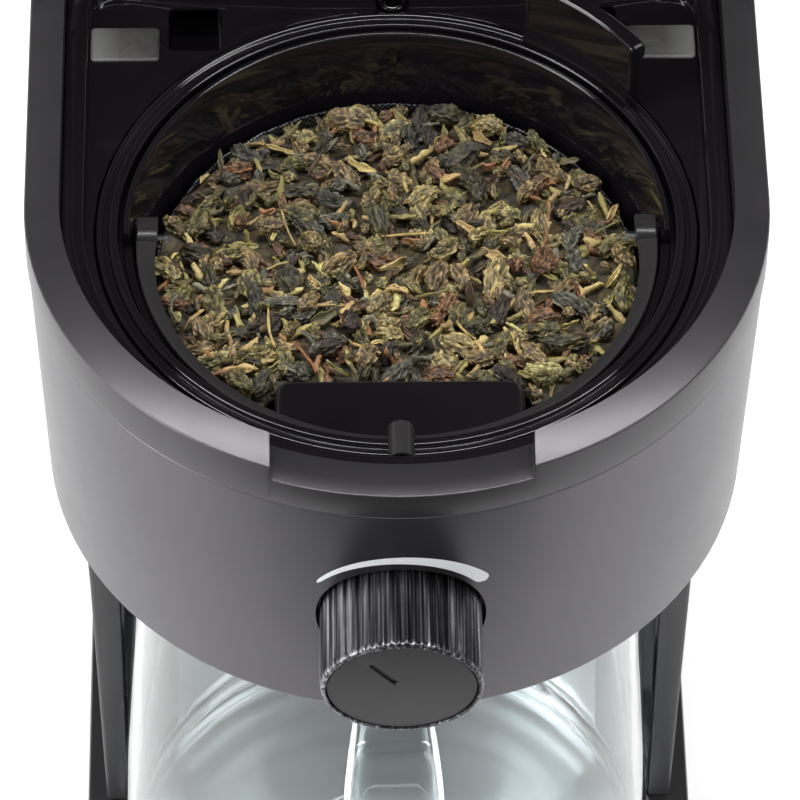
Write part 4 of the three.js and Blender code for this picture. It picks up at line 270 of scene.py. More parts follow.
def block(x0, x1, y0, y1, z0, z1):
    return prism([(x0, y0), (x1, y0), (x1, y1), (x0, y1)], z0, z1)


# Objects from shapes


def place(point):
    x, y, z = point
    return Vector((x * MM, y * MM + AXIS_Y, z * MM))


def to_object(name, mesh):
    obj = bpy.data.objects.new(name, mesh)
    bpy.context.scene.collection.objects.link(obj)
    return obj


def to_mesh(name, shape):
    points, faces = shape
    mesh = bpy.data.meshes.new(name)
    mesh.from_pydata([place(point) for point in points], [], faces)
    work = bmesh.new()
    work.from_mesh(mesh)
    bmesh.ops.remove_doubles(work, verts=work.verts, dist=1e-7)
    bmesh.ops.dissolve_degenerate(work, edges=work.edges, dist=1e-7)
    bmesh.ops.recalc_face_normals(work, faces=work.faces)
    work.to_mesh(mesh)
    work.free()
    return mesh


def combine(obj, shapes, operation):
    """Joins or cuts an object by other shapes in turn, applied at once."""
    for shape in shapes:
        helper = to_object("helper", to_mesh("helper", shape))
        modifier = obj.modifiers.new("combine", "BOOLEAN")
        modifier.object = helper
        modifier.operation = operation
        modifier.solver = "EXACT"
        view = bpy.context.evaluated_depsgraph_get()
        result = bpy.data.meshes.new_from_object(obj.evaluated_get(view))
        obj.modifiers.clear()
        obj.data = result
        bpy.data.objects.remove(helper)


def dress(obj, body, slot, nodes, sharp, material=None):
    obj.data.name = obj.name
    obj.data.materials.clear()
    obj.data.materials.append(material or FINISH[slot])
    obj.data.shade_smooth()
    obj.data.set_sharp_from_angle(angle=math.radians(sharp))
    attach(obj, body)
    if nodes:
        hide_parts(*nodes)


def piece(name, shape, body, slot, nodes=(), add=(), cut=(), more=(), bore=(), sharp=32, material=None):
    """Makes a visible piece: shapes are added, cut, added again and cut again, in this order."""
    obj = to_object(name, to_mesh(name, shape))
    combine(obj, add, "UNION")
    combine(obj, cut, "DIFFERENCE")
    combine(obj, more, "UNION")
    combine(obj, bore, "DIFFERENCE")
    dress(obj, body, slot, nodes, sharp, material)


def skin(node, shape, body, slot, **work):
    """The piece that stands for one solid."""
    piece(f"{node}_skin", shape, body, slot, [node], **work)


# Materials


def linear(value):
    return value / 12.92 if value <= 0.04045 else ((value + 0.055) / 1.055) ** 2.4


def rgb(red, green, blue):
    """Colour written as it shows, from 0 to 255."""
    return tuple(linear(c / 255) for c in (red, green, blue)) + (1.0,)


def shaded(color, share):
    return tuple(min(c * share, 1) for c in color[:3]) + (1.0,)


class Nodes:
    """Short way to build the nodes of a material or of the world."""

    def __init__(self, owner, coordinates="Object"):
        owner.use_nodes = True
        self.owner = owner
        self.tree = owner.node_tree
        self.shader = self.tree.nodes.get("Principled BSDF")
        self.coordinates = self.add("ShaderNodeTexCoord").outputs[coordinates]

    def feed(self, node, inputs):
        """Sets a node's inputs, or links those for which a socket is given."""
        for key, value in inputs.items():
            if isinstance(value, bpy.types.NodeSocket):
                self.tree.links.new(value, node.inputs[key])
            else:
                node.inputs[key].default_value = value
        return node

    def add(self, kind, inputs=None, **settings):
        node = self.tree.nodes.new(kind)
        for key, value in settings.items():
            setattr(node, key, value)
        return self.feed(node, inputs or {})

    def set(self, **inputs):
        self.feed(self.shader, {key.replace("_", " "): value for key, value in inputs.items()})

    def show(self, shader):
        end = self.tree.nodes.get("Material Output") or self.tree.nodes["World Output"]
        self.feed(end, {"Surface": shader.outputs[0]})

    def mix(self, share, first, second):
        return self.add("ShaderNodeMixShader", {0: share, 1: first.outputs[0], 2: second.outputs[0]})

    def math(self, operation, *values):
        return self.add("ShaderNodeMath", dict(enumerate(values)), operation=operation).outputs[0]

    def along(self, axis):
        return self.add("ShaderNodeSeparateXYZ", {0: self.coordinates}).outputs[axis]

    def span(self, source, low, high, to_low=0.0, to_high=1.0, kind="LINEAR"):
        return self.add("ShaderNodeMapRange", {"Value": source, "From Min": low, "From Max": high, "To Min": to_low,
                                               "To Max": to_high}, interpolation_type=kind).outputs["Result"]

    def noise(self, scale, detail, stretch=(1, 1, 1), rough=0.5):
        mapping = self.add("ShaderNodeMapping", {"Vector": self.coordinates, "Scale": stretch})
        return self.add("ShaderNodeTexNoise", {"Vector": mapping.outputs["Vector"], "Scale": scale, "Detail": detail,
                                               "Roughness": rough}).outputs["Fac"]

    def ramp(self, source, *stops):
        ramp = self.add("ShaderNodeValToRGB", {"Fac": source})
        elements = ramp.color_ramp.elements
        while len(elements) < len(stops):
            elements.new(0.5)
        for element, (position, color) in zip(elements, stops):
            element.position = position
            element.color = color
        return ramp.outputs["Color"]

    def bump(self, source, strength, distance):
        bump = self.add("ShaderNodeBump", {"Height": source, "Strength": strength, "Distance": distance})
        self.set(Normal=bump.outputs["Normal"])


def moulding(name, color, roughness, spread, metallic, grain, tone, grain_scale=2600):
    """Moulded or painted surface: slow changes of tone and gloss over a fine grain."""
    nodes = Nodes(bpy.data.materials.new(name))
    nodes.set(Base_Color=nodes.ramp(nodes.noise(22, 3), (0.3, shaded(color, 1 - tone)), (0.7, shaded(color, 1 + tone))),
              Roughness=nodes.span(nodes.noise(90, 5), 0, 1, roughness - spread, roughness + spread),
              Metallic=metallic)
    if grain > 0:
        nodes.bump(nodes.noise(grain_scale, 2), grain, 0.00004)
    return nodes.owner


def knob_streaks_and_painted_light():
    """Fluted metal with light and dark streaks along the knob, partly its brushed grain and partly painted glints, and
    painted light that makes its left side lighter.
    """
    nodes = Nodes(bpy.data.materials.new("knob_black"))
    nodes.coordinates = nodes.add("ShaderNodeMapping", {"Vector": nodes.coordinates,
                                                        "Rotation": (-KNOB_TILT, 0, 0)}).outputs["Vector"]
    # streaks: partly brushed grain, partly painted glints on the flutes; the -2.4 * X term is painted light, lighter on
    # the left
    streak_and_painted_light = nodes.math("MULTIPLY_ADD", nodes.along("X"), -2.4, nodes.noise(760, 3, (1, 0.012, 1), 0.75))
    nodes.set(Base_Color=nodes.ramp(streak_and_painted_light, (0.42, rgb(34, 33, 36)), (0.52, rgb(88, 87, 91)),
                                    (0.66, rgb(172, 172, 178))),
              Roughness=nodes.span(nodes.noise(260, 2), 0, 1, 0.26, 0.40), Metallic=0.85)
    return nodes.owner


def reflection_patch_material():
    """Pale pad of painted reflection, which darkens away from the liner's sides."""
    nodes = Nodes(bpy.data.materials.new("grey_reflection_patch"))
    # painted reflection: pale toward the liner's sides, fading to dark inward
    reach = nodes.span(nodes.math("ABSOLUTE", nodes.along("X")), 0.061, 0.080)
    nodes.set(Base_Color=nodes.ramp(reach, (0.0, rgb(44, 42, 42)), (0.55, rgb(72, 71, 68)), (1.0, rgb(128, 128, 122))),
              Roughness=nodes.span(nodes.noise(300, 4), 0, 1, 0.35, 0.7))
    nodes.bump(nodes.noise(420, 4), 0.8, 0.0002)
    return nodes.owner


def woven():
    """Fine steel weave: bright wires over dark gaps."""
    nodes = Nodes(bpy.data.materials.new("steel_weave"))
    checks = nodes.add("ShaderNodeTexChecker", {"Vector": nodes.coordinates, "Scale": 1300})
    nodes.set(Base_Color=nodes.ramp(checks.outputs["Fac"], (0.0, rgb(24, 24, 25)), (1.0, rgb(128, 129, 131))),
              Roughness=nodes.span(nodes.noise(200, 3), 0, 1, 0.3, 0.5), Metallic=0.85)
    return nodes.owner


def clear(name, color, roughness, ior, tone):
    """Slightly wavy glass or plastic, which shadows and diffuse light pass straight through."""
    nodes = Nodes(bpy.data.materials.new(name))
    ripple = nodes.noise(45, 2, (1, 1, 0.35))
    nodes.set(Base_Color=nodes.ramp(nodes.noise(16, 3), (0.3, shaded(color, 1 - tone)), (0.7, color)),
              Roughness=nodes.span(ripple, 0, 1, roughness, roughness + 0.02), IOR=ior, Transmission_Weight=1.0)
    nodes.bump(ripple, 0.12, 0.0006)
    ray = nodes.add("ShaderNodeLightPath").outputs
    passes = nodes.math("MAXIMUM", ray["Is Shadow Ray"], ray["Is Diffuse Ray"])
    nodes.show(nodes.mix(passes, nodes.shader, nodes.add("ShaderNodeBsdfTransparent", {"Color": color})))
    return nodes.owner


def tea_material():
    """Dry rolled leaves: each leaf's own tone, which carries the painted shade and highlights of its folds, veins and a
    slight gloss.
    """
    nodes = Nodes(bpy.data.materials.new("rolled_tea"))
    # tone: each leaf's colour with painted shade in its creases and painted highlights on its crests
    tone = nodes.add("ShaderNodeAttribute", attribute_name="tone")
    veins = nodes.ramp(nodes.noise(900, 5), (0.25, rgb(140, 134, 122)), (0.5, rgb(226, 222, 210)),
                       (0.75, rgb(255, 252, 236)))
    mix = nodes.add("ShaderNodeMix", data_type="RGBA", blend_type="MULTIPLY")
    nodes.feed(mix, {"Factor": 0.75, "A": tone.outputs["Color"], "B": veins})
    nodes.set(Base_Color=mix.outputs["Result"], Roughness=nodes.span(nodes.noise(400, 3), 0, 1, 0.42, 0.75))
    nodes.bump(nodes.noise(1100, 6, (1, 1, 1), 0.65), 0.7, 0.0004)
    return nodes.owner


# Colour, roughness and its spread, metallic, grain, change of tone and, for rubber, the grain's scale
MOULDINGS = {
    "gunmetal_panel": (rgb(90, 88, 91), 0.33, 0.03, 0.88, 0.18, 0.05),
    "charcoal_trim": (rgb(76, 74, 76), 0.33, 0.04, 0.8, 0.25, 0.06),
    "column_grey": (rgb(72, 70, 72), 0.46, 0.04, 0.3, 0.35, 0.06),
    "gloss_black": (rgb(23, 20, 24), 0.07, 0.02, 0.0, 0.0, 0.2),
    "satin_black": (rgb(38, 36, 37), 0.36, 0.05, 0.0, 0.25, 0.12),
    "dark_metal_face": (rgb(50, 49, 50), 0.40, 0.06, 0.55, 0.12, 0.1),
    "bright_steel": (rgb(205, 207, 210), 0.16, 0.05, 1.0, 0.0, 0.04),
    "alloy": (rgb(226, 229, 232), 0.36, 0.06, 1.0, 0.3, 0.06),
    "black_rubber": (rgb(34, 33, 33), 0.78, 0.06, 0.0, 0.6, 0.12, 1500),
    "pale_silicone": (rgb(214, 216, 212), 0.52, 0.06, 0.0, 0.2, 0.04),
    "white_print": (rgb(240, 244, 245), 0.45, 0.04, 0.0, 0.1, 0.02)}
FINISH = {name: moulding(name, *look) for name, look in MOULDINGS.items()}
FINISH["clear_glass"] = clear("clear_glass", rgb(250, 253, 253), 0.0, 1.47, 0.01)
FINISH["smoke_tank"] = clear("smoke_tank", rgb(150, 156, 160), 0.03, 1.1, 0.06)
FINISH["rolled_tea"] = tea_material()
WEAVE = woven()

for row in frame["record"]["subparts"]:
    node = frame["nodes"][row["node"]]
    for slot in node.material_slots:
        slot.material = WEAVE if row["node"] == "filter_mesh" else FINISH[row["material_slot"]]


# Camera, floor and light


def look_from(target, distance, elevation, yaw, roll):
    away = Vector((math.sin(yaw) * math.cos(elevation), -math.cos(yaw) * math.cos(elevation), math.sin(elevation)))
    right = Vector((0, 0, 1)).cross(away).normalized()
    up = away.cross(right)
    tilted_right = right * math.cos(roll) + up * math.sin(roll)
    tilted_up = up * math.cos(roll) - right * math.sin(roll)
    basis = Matrix((tilted_right, tilted_up, away)).transposed().to_4x4()
    return Matrix.Translation(target + away * distance) @ basis


camera = bpy.data.cameras.new("camera")
camera.lens = 272.9
camera.sensor_width = 36.0
camera.sensor_fit = "HORIZONTAL"
camera.clip_end = 20.0
viewer = to_object("camera", camera)
viewer.matrix_world = look_from(Vector((-0.0003, -0.1072, 0.312)), 1.5, math.radians(49.17), math.radians(-1.4),
                                math.radians(0.67))
bpy.context.scene.camera = viewer


def seen_rays(nodes):
    """1 for rays that show the background: the camera's, mirrored ones and those through glass."""
    ray = nodes.add("ShaderNodeLightPath").outputs
    return nodes.math("MAXIMUM", nodes.math("MAXIMUM", ray["Is Camera Ray"], ray["Is Glossy Ray"]),
                      ray["Is Transmission Ray"])


def studio_world():
    """White room whose mirror image is darker upward and a little brighter on the left."""
    world = bpy.data.worlds.new("studio")
    nodes = Nodes(world, "Generated")
    plain = nodes.feed(nodes.tree.nodes["Background"], {"Color": (1, 1, 1, 1), "Strength": 0.5})
    seen = nodes.add("ShaderNodeBackground", {"Strength": 1.0})
    mirrored = nodes.add("ShaderNodeBackground", {
        "Color": nodes.ramp(nodes.along("Z"), (0.12, (1, 1, 1, 1)), (0.55, (0.10, 0.10, 0.105, 1))),
        "Strength": nodes.span(nodes.along("X"), -0.9, 0.9, 1.15, 0.72)})
    upper = nodes.mix(nodes.add("ShaderNodeLightPath").outputs["Is Glossy Ray"], seen, mirrored)
    nodes.show(nodes.mix(seen_rays(nodes), plain, upper))
    bpy.context.scene.world = world


def staged(name, half, front, back, z, nodes):
    """Flat sheet in metres that belongs to the studio."""
    mesh = bpy.data.meshes.new(name)
    mesh.from_pydata([(-half, front, z), (half, front, z), (half, back, z), (-half, back, z)], [], [(0, 1, 2, 3)])
    mesh.materials.append(nodes.owner)
    sheet = to_object(name, mesh)
    return sheet


def studio_floor():
    ground = Nodes(bpy.data.materials.new("floor_white"))
    ground.set(Base_Color=(0.8, 0.8, 0.8, 1), Roughness=0.9, Specular_IOR_Level=0.0)
    glow = ground.mix(seen_rays(ground), ground.add("ShaderNodeEmission", {"Strength": 0.0}),
                      ground.add("ShaderNodeEmission", {"Strength": 0.5}))
    ground.show(ground.add("ShaderNodeAddShader", {0: ground.shader.outputs[0], 1: glow.outputs[0]}))
    staged("floor", 6, -6, 6, 0, ground)


def dark_card():
    """Black card on the floor in front, which only mirrored rays see: it darkens the top of the panel."""
    dark = Nodes(bpy.data.materials.new("card_black"))
    dark.set(Base_Color=(0.01, 0.01, 0.01, 1), Roughness=1.0, Specular_IOR_Level=0.0)
    away = dark.span(dark.along("Y"), -0.21, -0.43, kind="SMOOTHSTEP")
    fade = dark.span(dark.math("ABSOLUTE", dark.along("X")), 0.52, 0.18, kind="SMOOTHSTEP")
    dark.show(dark.mix(dark.math("MULTIPLY", away, fade), dark.add("ShaderNodeBsdfTransparent"), dark.shader))
    card = staged("front_card", 0.5, -1.3, -0.2, 0.002, dark)
    card.visible_camera = card.visible_diffuse = card.visible_shadow = card.visible_transmission = False


def softbox(name, centre, aim, width, height, power, glossy=True):
    light = bpy.data.lights.new(name, "AREA")
    light.shape = "RECTANGLE"
    light.size = width
    light.size_y = height
    light.energy = power
    lamp = to_object(name, light)
    direction = Vector(centre) - Vector(aim)
    lamp.visible_glossy = glossy
    lamp.matrix_world = Matrix.Translation(centre) @ direction.to_track_quat("Z", "Y").to_matrix().to_4x4()
    return lamp


bpy.context.scene.view_settings.view_transform = "Standard"
studio_world()
studio_floor()
dark_card()
softbox("key_left", (-1.1, -0.5, 1.1), (0, -0.05, 0.25), 0.5, 0.9, 7.0)
softbox("key_right", (1.1, -0.5, 1.1), (0, -0.05, 0.25), 0.5, 0.9, 4.5)
softbox("overhead", (0.0, 0.25, 1.75), (0, -0.05, 0.3), 1.0, 0.6, 15.0, glossy=False)
softbox("side_left", (-1.2, -0.5, 0.35), (0, -0.1, 0.25), 0.5, 0.7, 6.5)
softbox("ceiling_strip", (0.0, 0.0, 1.6), (0, 0.0, 0.3), 2.6, 0.14, 32.0).visible_diffuse = False


# Head: lower shell, rim with its finger notch, liner with its pale pads of painted reflection, and the water outlet

KNOB_PLACE = shift(0, -PANEL_RADIUS, RIM - KNOB_DEPTH) @ Matrix.Rotation(QUARTER + KNOB_TILT, 4, "X")


def on_knob(shape):
    return turned(shape, KNOB_PLACE)


def head_shell():
    line = fillet([
        (91.5, BACK, CORNER, 219, 1.2), (94.6, BACK, CORNER, 299.1, 0.7), (92.1, 109.1, 11.4, 299.1, 0.2),
        (92.1, 109.1, 11.4, 302.5, 0.3), (90.0, 107.0, 9.4, 302.5, 0.3), (90.0, 107.0, 9.4, 295.6, 0.8),
        (92.0, 109.3, 11.4, 294.6, 0.8), (88.9, 109.4, 11.4, 219, 0.5)])
    skin("head_shell", d_ring(line), "housing", "gunmetal_panel", cut=[on_knob(rod(21.5, -10, 8, steps=96))])


def rear_band(half, back):
    """Outline of a D plan from its right side round the rear to its left side."""
    line = [(half, 72)] + arc(CORNER, 0, QUARTER, CORNER_STEPS, half - CORNER, back - CORNER)
    return line + [(-x, y) for x, y in reversed(line)]


def head_rim():
    line = fillet([
        (HALF, BACK, CORNER, 299.7, HALF, 299.7, 0.5),
        (HALF, BACK, CORNER, RIM, HALF, 307.8, 0.9),
        (86.0, 103.0, 9, 314.5, 90.0, 307.8, 0.5),
        (86.0, 85.6, 8, 314.5, 84.4, 307.8, 0.7),
        (86.0, 85.6, 8, 304.5, 84.4, 306.4, 0.2),
        (88.0, 87.6, 8, 304.5, 86.4, 306.4, 0.2),
        (88.0, 87.6, 8, 309.8, 88.0, 306.4, 0.0),
        (92.4, 109.4, CORNER, 310.3, 92.4, 306.4, 0.0),
        (92.4, 109.4, CORNER, 299.7, 92.4, 299.7, 0.0)], 3)
    ears = []
    for x in (side * LID_ARM_X + hand * 6.3 for side in (-1, 1) for hand in (-1, 1)):
        ears += [pin(4.5, 2, x, LID_AXIS, 0.5), block(x - 2, x + 2, 89, 98, 313.2, 319.5)]
    seat = prism(rear_band(95.6, 88.6) + list(reversed(rear_band(90.8, 83.8))), 312.7, 322)
    holes = [pin(2.3, 10, side * LID_ARM_X, LID_AXIS) for side in (-1, 1)]
    skin("head_rim", d_ring(line), "housing", "charcoal_trim", add=ears, cut=[seat] + holes)


def key_block(half, radius, rear, low, high):
    return prism([(-half, rear)] + front_arc(radius, half, 16) + [(half, rear)], low, high)


def head_liner():
    line = fillet([
        (85.6, 85.2, 8, 304.2, 0.2), (85.6, 85.2, 8, 306.0, 0.4), (80.0, 83.0, 8, 306.0, 1.0),
        (80.0, 83.0, 8, 301.4, 1.2), (77.6, 77.6, 77.6, 301.4, 0.7), (77.6, 77.6, 77.6, 290.0, 0.3),
        (74.5, 74.5, 74.5, 290.0, 0.8), (74.5, 74.5, 74.5, 228.0, 1.5), (22, 22, 22, 228.0, 0.3),
        (22, 22, 22, 226.0, 0.3), (76.5, 76.5, 76.5, 226.0, 1.0), (76.5, 76.5, 76.5, 288.0, 0.5),
        (82.0, 85.0, 10, 288.0, 1.0), (82.0, 85.0, 10, 302.2, 0.5), (89.3, 88.9, 13, 302.2, 0.2),
        (89.3, 88.9, 13, 304.2, 0.2)])
    outlet = turned(rod(4.4, -6, 6), along_y(0, 83, OUTLET_Z))
    shaft = on_knob(rod(4.6, -22, -6))
    slots = [block(x - 6.75, x + 6.75, 76, 90, 291.0, 300.5) for x in (-53, 53)]
    slots += [turned(prism(box_plan(7.0, 63.5, 79.2, 1.5, 1.5, 4), 291.0, 303.0), shift(x, 0, 0)) for x in (-52, 52)]
    skin("head_liner", d_ring(line), "housing", "gloss_black", add=[key_block(20.6, 81.8, -70, 226.0, 288.5)],
         cut=[key_block(18.6, 79.8, -50, 228.0, 291.0), outlet, shaft] + slots)


def water_outlet():
    profile = fillet([(2.0, -2.4, 0.2), (3.6, -2.1, 0.5), (3.6, -0.3, 0.2), (3.2, -0.3, 0), (3.2, 10, 0.2),
                      (2.0, 10, 0.2)])
    skin("water_outlet", turned(lathe(profile, SMALL_STEPS), along_y(0, 83, OUTLET_Z)), "housing", "bright_steel")


def reflection_patches():
    """Pale raised pads in the liner's rear corners, whose pale colour is a painted reflection."""
    material = reflection_patch_material()
    for x, name in ((-70.4, "left"), (70.4, "right")):
        pad = loft([at(box_plan(9.0 - inset, 59.6 + inset, 71.6 - inset, 1.2, 1.2, 4), z)
                    for z, inset in ((301.2, 0.0), (301.8, 0.0), (302.1, 0.3), (302.2, 0.7))])
        piece(f"pale_reflection_patch_{name}", turned(pad, shift(x, 0, 0)), "housing", "pale_silicone", material=material)


head_shell()
head_rim()
head_liner()
water_outlet()
reflection_patches()


# Strength knob: fluted body, face with its mark, and the pale arc over it


def knob_body():
    flutes, per = 66, 6
    draw = random.Random(5)
    depths = [0.75 + 0.35 * draw.random() for _ in range(flutes)]
    skews = [(draw.random() - 0.5) * 0.25 for _ in range(flutes)]
    rings = []
    for radius, z, depth_share in [(20.4, -5.0, 1), (20.6, 17.4, 1), (20.6, 18.2, 0.7), (20.5, 18.9, 0.2),
                                   (20.3, 19.5, 0), (20.0, 19.9, 0), (19.6, 20.05, 0), (19.3, 20.0, 0),
                                   (19.15, 19.7, 0), (19.15, 18.2, 0)]:
        ring = []
        for i in range(flutes):
            for n in range(per):
                share = n / per
                wave = 0.5 - 0.5 * math.cos(TAU * min(max(share + skews[i] * math.sin(math.pi * share), 0), 1))
                reach = radius - depths[i] * depth_share * wave ** 0.8
                angle = TAU * (i + share) / flutes
                ring.append((reach * math.cos(angle), reach * math.sin(angle), z))
        rings.append(ring)
    room = lathe(fillet([(7, -11, 0), (17, -11, 0), (17, 15.7, 1), (7, 15.7, 1)]), 96)
    skin("knob_body", on_knob(loft(rings)), "strength_knob", "satin_black",
         cut=[on_knob(room), on_knob(rod(4.3, -11, 15.4))], sharp=40, material=knob_streaks_and_painted_light())


def capsule(half, inner, outer, z):
    return at(arc(half, 0, math.pi, 10, 0, outer - half) + arc(half, math.pi, math.pi, 10, 0, inner + half), z)


def knob_face():
    disc = lathe(fillet([(0, 18.1, 0), (18.8, 18.1, 0.1), (18.8, 19.65, 0.25), (0, 19.7, 0)]))
    mark = loft([capsule(0.7, 2.4, 13.4, 19.0), capsule(0.76, 2.3, 13.5, 19.4), capsule(1.1, 2.0, 13.8, 19.9)])
    skin("knob_face", on_knob(disc), "strength_knob", "dark_metal_face",
         cut=[turned(mark, KNOB_PLACE @ Matrix.Rotation(-KNOB_REST, 4, "Z"))])


def panel_point(reach, angle, lift):
    """Point on the head's panel at a reach and angle from the knob's centre, pushed out of it by a small lift."""
    x, up = reach * math.sin(angle), reach * math.cos(angle)
    radius = HALF - TAPER * (KNOB_DEPTH - up) / SHELL_HEIGHT + lift
    return x, -math.sqrt(radius * radius - x * x), RIM - KNOB_DEPTH + up


def printed_arc():
    steps, parts = 72, 6
    rings = []
    for i in range(steps + 1):
        t = i / steps
        angle = math.radians(-57.5 + 114 * t)
        width = 0.9 + 3.1 * t ** 0.9
        if t < 0.02:
            width *= (t / 0.02) ** 0.5 * 0.9 + 0.1
        if t > 0.955:
            width *= max(1 - ((t - 0.955) / 0.045) ** 2, 0.0) ** 0.5 * 0.97 + 0.03
        reaches = [25.1 + 0.2 * t + width * (n / parts - 0.5) for n in range(parts + 1)]
        rings.append([panel_point(reach, angle, 0.14) for reach in reaches]
                     + [panel_point(reach, angle, 0.02) for reach in reversed(reaches)])
    piece("strength_arc", loft(rings), "housing", "pale_silicone", material=FINISH["white_print"])


knob_body()
knob_face()
printed_arc()


# Brew basket with its grip, tea filter with its pocket, and the folding bail


def arc_sweep(section, start, end, steps, inset):
    """Sweeps a section of (radius, z) points round the brew axis, with small chamfers at both ends."""
    middle = (sum(r for r, _ in section) / len(section), sum(z for _, z in section) / len(section))
    rings = []
    span = end - start
    places = [0.0, inset / 75 / span] + [i / steps for i in range(1, steps)] + [1 - inset / 75 / span, 1.0]
    for i, place_share in enumerate(places):
        angle = start + span * place_share
        pull = inset if i in (0, len(places) - 1) else 0
        ring = []
        for radius, z in section:
            dr, dz = middle[0] - radius, middle[1] - z
            length = math.hypot(dr, dz)
            radius += dr / length * pull
            z += dz / length * pull
            ring.append((radius * math.cos(angle), radius * math.sin(angle), z))
        rings.append(ring)
    return loft(rings)


def brew_basket():
    profile = fillet([
        (6, 220, 0.3), (9, 220, 0.8), (9, 232, 2), (59.2, 232, 2), (63.2, 238.4, 2), (71.6, 290.0, 1.0),
        (71.8, 295.0, 0.5), (75.4, 297.5, 0.5), (75.4, 290.3, 0.2), (77, 290.3, 0.5), (77, 302.0, 0.9),
        (75.6, 302.0, 0.6), (75.0, 301.2, 0.4), (74.1, 301.2, 0.2), (73.8, 302.4, 0.7), (71.5, 302.4, 0.7),
        (71.5, 297.0, 0.3), (70.0, 297.0, 0.4), (70.0, 289.0, 0.8), (61.7, 238.4, 3), (6, 234.4, 0.5)])
    section = fillet([(72.0, 298.0, 0), (76.4, 298.0, 0), (76.4, 318.6, 0.8), (78.2, 319.6, 0.6), (78.2, 324.0, 1.4),
                      (73.6, 324.0, 1.4), (73.6, 308.8, 0.7), (72.0, 305.4, 0.7)], 5)
    boss = on_knob(rod(16, -30, -20.3, edge=0.6, steps=72))
    grip = arc_sweep(section, math.radians(34), math.radians(62), 30, 0.5)
    ports = [turned(rod(2.6, -40, 0), KNOB_PLACE @ Matrix.Rotation(math.pi * share, 4, "Z") @ shift(10.5, 0, 0))
             for share in (0.62, 0.95, 1.28)]
    skin("brew_basket", lathe(profile, 192), "brew_basket", "gloss_black", add=[boss, grip],
         cut=ports + [on_knob(rod(2.9, -40, 0))])


def filter_radius(z):
    """Radius of the filter's wall on the solids."""
    return 66.4 + (60.2 - 66.4) * (RIM - z - 11.7) / (73 - 11.7)


def pocket_plan(half, back, corner, radius, shrink=0.0):
    half -= shrink
    y = -back - shrink - corner
    return (arc(corner, 0, QUARTER, CORNER_STEPS, half - corner, y)
            + arc(corner, QUARTER, QUARTER, CORNER_STEPS, corner - half, y) + front_arc(radius, half, 24))


def tea_filter():
    profile = fillet([
        (0, 239, 0), (60.2, 239, 1.5), (68.5, 290.0, 0.8), (68.5, 297.3, 0.3), (69.9, 297.3, 0.2),
        (69.9, 302.3, 0.6), (68.5, 302.3, 0.6), (67.6, 296.4, 0.5), (58.8, 241, 1.5), (0, 241, 0)])
    rounding = [(240.0, 0.0), (294.0, 0.0), (295.0, 0.25), (295.6, 0.75), (295.9, 1.3), (296.0, 2.0)]
    pocket = loft([at(pocket_plan(31.5, 46.2, 4, 59.6 + 8.2 * (z - 241) / 55.4, shrink), z)
                   for z, shrink in rounding])
    inside = prism(pocket_plan(29.9, 47.8, 2.4, 75), 241.0, 294.4)
    window = loft([across(box_plan(17, 244, 278, 3, 3, 4), x) for x in (50, 72)])
    windows = [turned(window, Matrix.Rotation(TAU * (i + 0.5) / 8, 4, "Z")) for i in (0, 1, 2, 3, 4, 7)]
    pins = [pin(1.2, 1.5, side * 65.6, BAIL_AXIS) for side in (-1, 1)]
    key = block(-0.9, 0.9, 66.4, 69.0, 289, 297.0)
    front_collar = block(-75, 75, -75, -2.0, 297.4, 310)
    skin("tea_filter", lathe(profile, 192), "tea_filter", "gloss_black", add=[pocket, key],
         cut=[inside, front_collar] + windows + pins)


def filter_bail():
    """Flat bow that lies on the front of the filter's ring, narrower and wider out toward the front."""
    rings, count = [], 120
    for i in range(count + 1):
        angle = math.pi + math.pi * i / count
        forward = abs(math.sin(angle))
        outer, inner = 66.7 + 4.3 * forward ** 1.2, 61.0 + 7.1 * forward ** 0.8
        section = fillet([(inner, 297.7, 0.5), (outer, 297.9, 0.5), (outer, 299.8, 0.5), (inner, 299.4, 0.5)], 3)
        rings.append([(radius * math.cos(angle), radius * math.sin(angle), z) for radius, z in section])
    arm = [(-1.5, 297.7), (5.4, 297.9), (6.4, 298.4), (6.4, 299.2), (5.4, 299.7), (-1.5, 299.6)]
    parts = []
    for low, high in ((-66.5, -61.2), (61.2, 66.5)):
        parts += [turned(rod(2.8, low, high, 0.5), along_x(0, *BAIL_AXIS)), loft([across(arm, low), across(arm, high)])]
    crown, under = (arc(radius, 0, math.pi, 20, 0, 302.6) for radius in (3.3, 2.5))
    for outline, ys in ((crown + list(reversed(under)), (-79.2, -78.9, -70.6)),
                        ([(3.3, 298.2)] + crown + [(-3.3, 298.2)], (-71.0, -68.6))):
        parts.append(loft([[(x, y, z) for x, z in outline] for y in ys]))
    skin("filter_bail", loft(rings), "filter_bail", "satin_black", add=parts,
         cut=[turned(rod(1.2, x - 5, x + 5), along_x(0, *BAIL_AXIS)) for x in (-64, 64)])


brew_basket()
tea_filter()
filter_bail()


# Glass jug with its handle, jug lid, and the rest that it stands on


def jug_outer(share):
    stops = [(0.0, 77.0), (0.19, 74.4), (0.63, 70.0), (1.0, 67.5)]
    for (s0, r0), (s1, r1) in zip(stops, stops[1:]):
        if share <= s1:
            return r0 + (r1 - r0) * (share - s0) / (s1 - s0)


def jug_ring(radius, z, top):
    """Ring of the jug's wall, drawn out into a pouring beak at the rear of the rim."""
    ring, steps = [], 192
    share = max(0.0, 1 - (top - z) / 24.0)
    for i in range(steps):
        angle = TAU * i / steps
        away = math.atan2(math.sin(angle - QUARTER), math.cos(angle - QUARTER)) * radius
        reach = radius + math.exp(-(away / 9.5) ** 2) * 8.0 * share ** 1.6
        ring.append((reach * math.cos(angle), reach * math.sin(angle), z))
    return ring


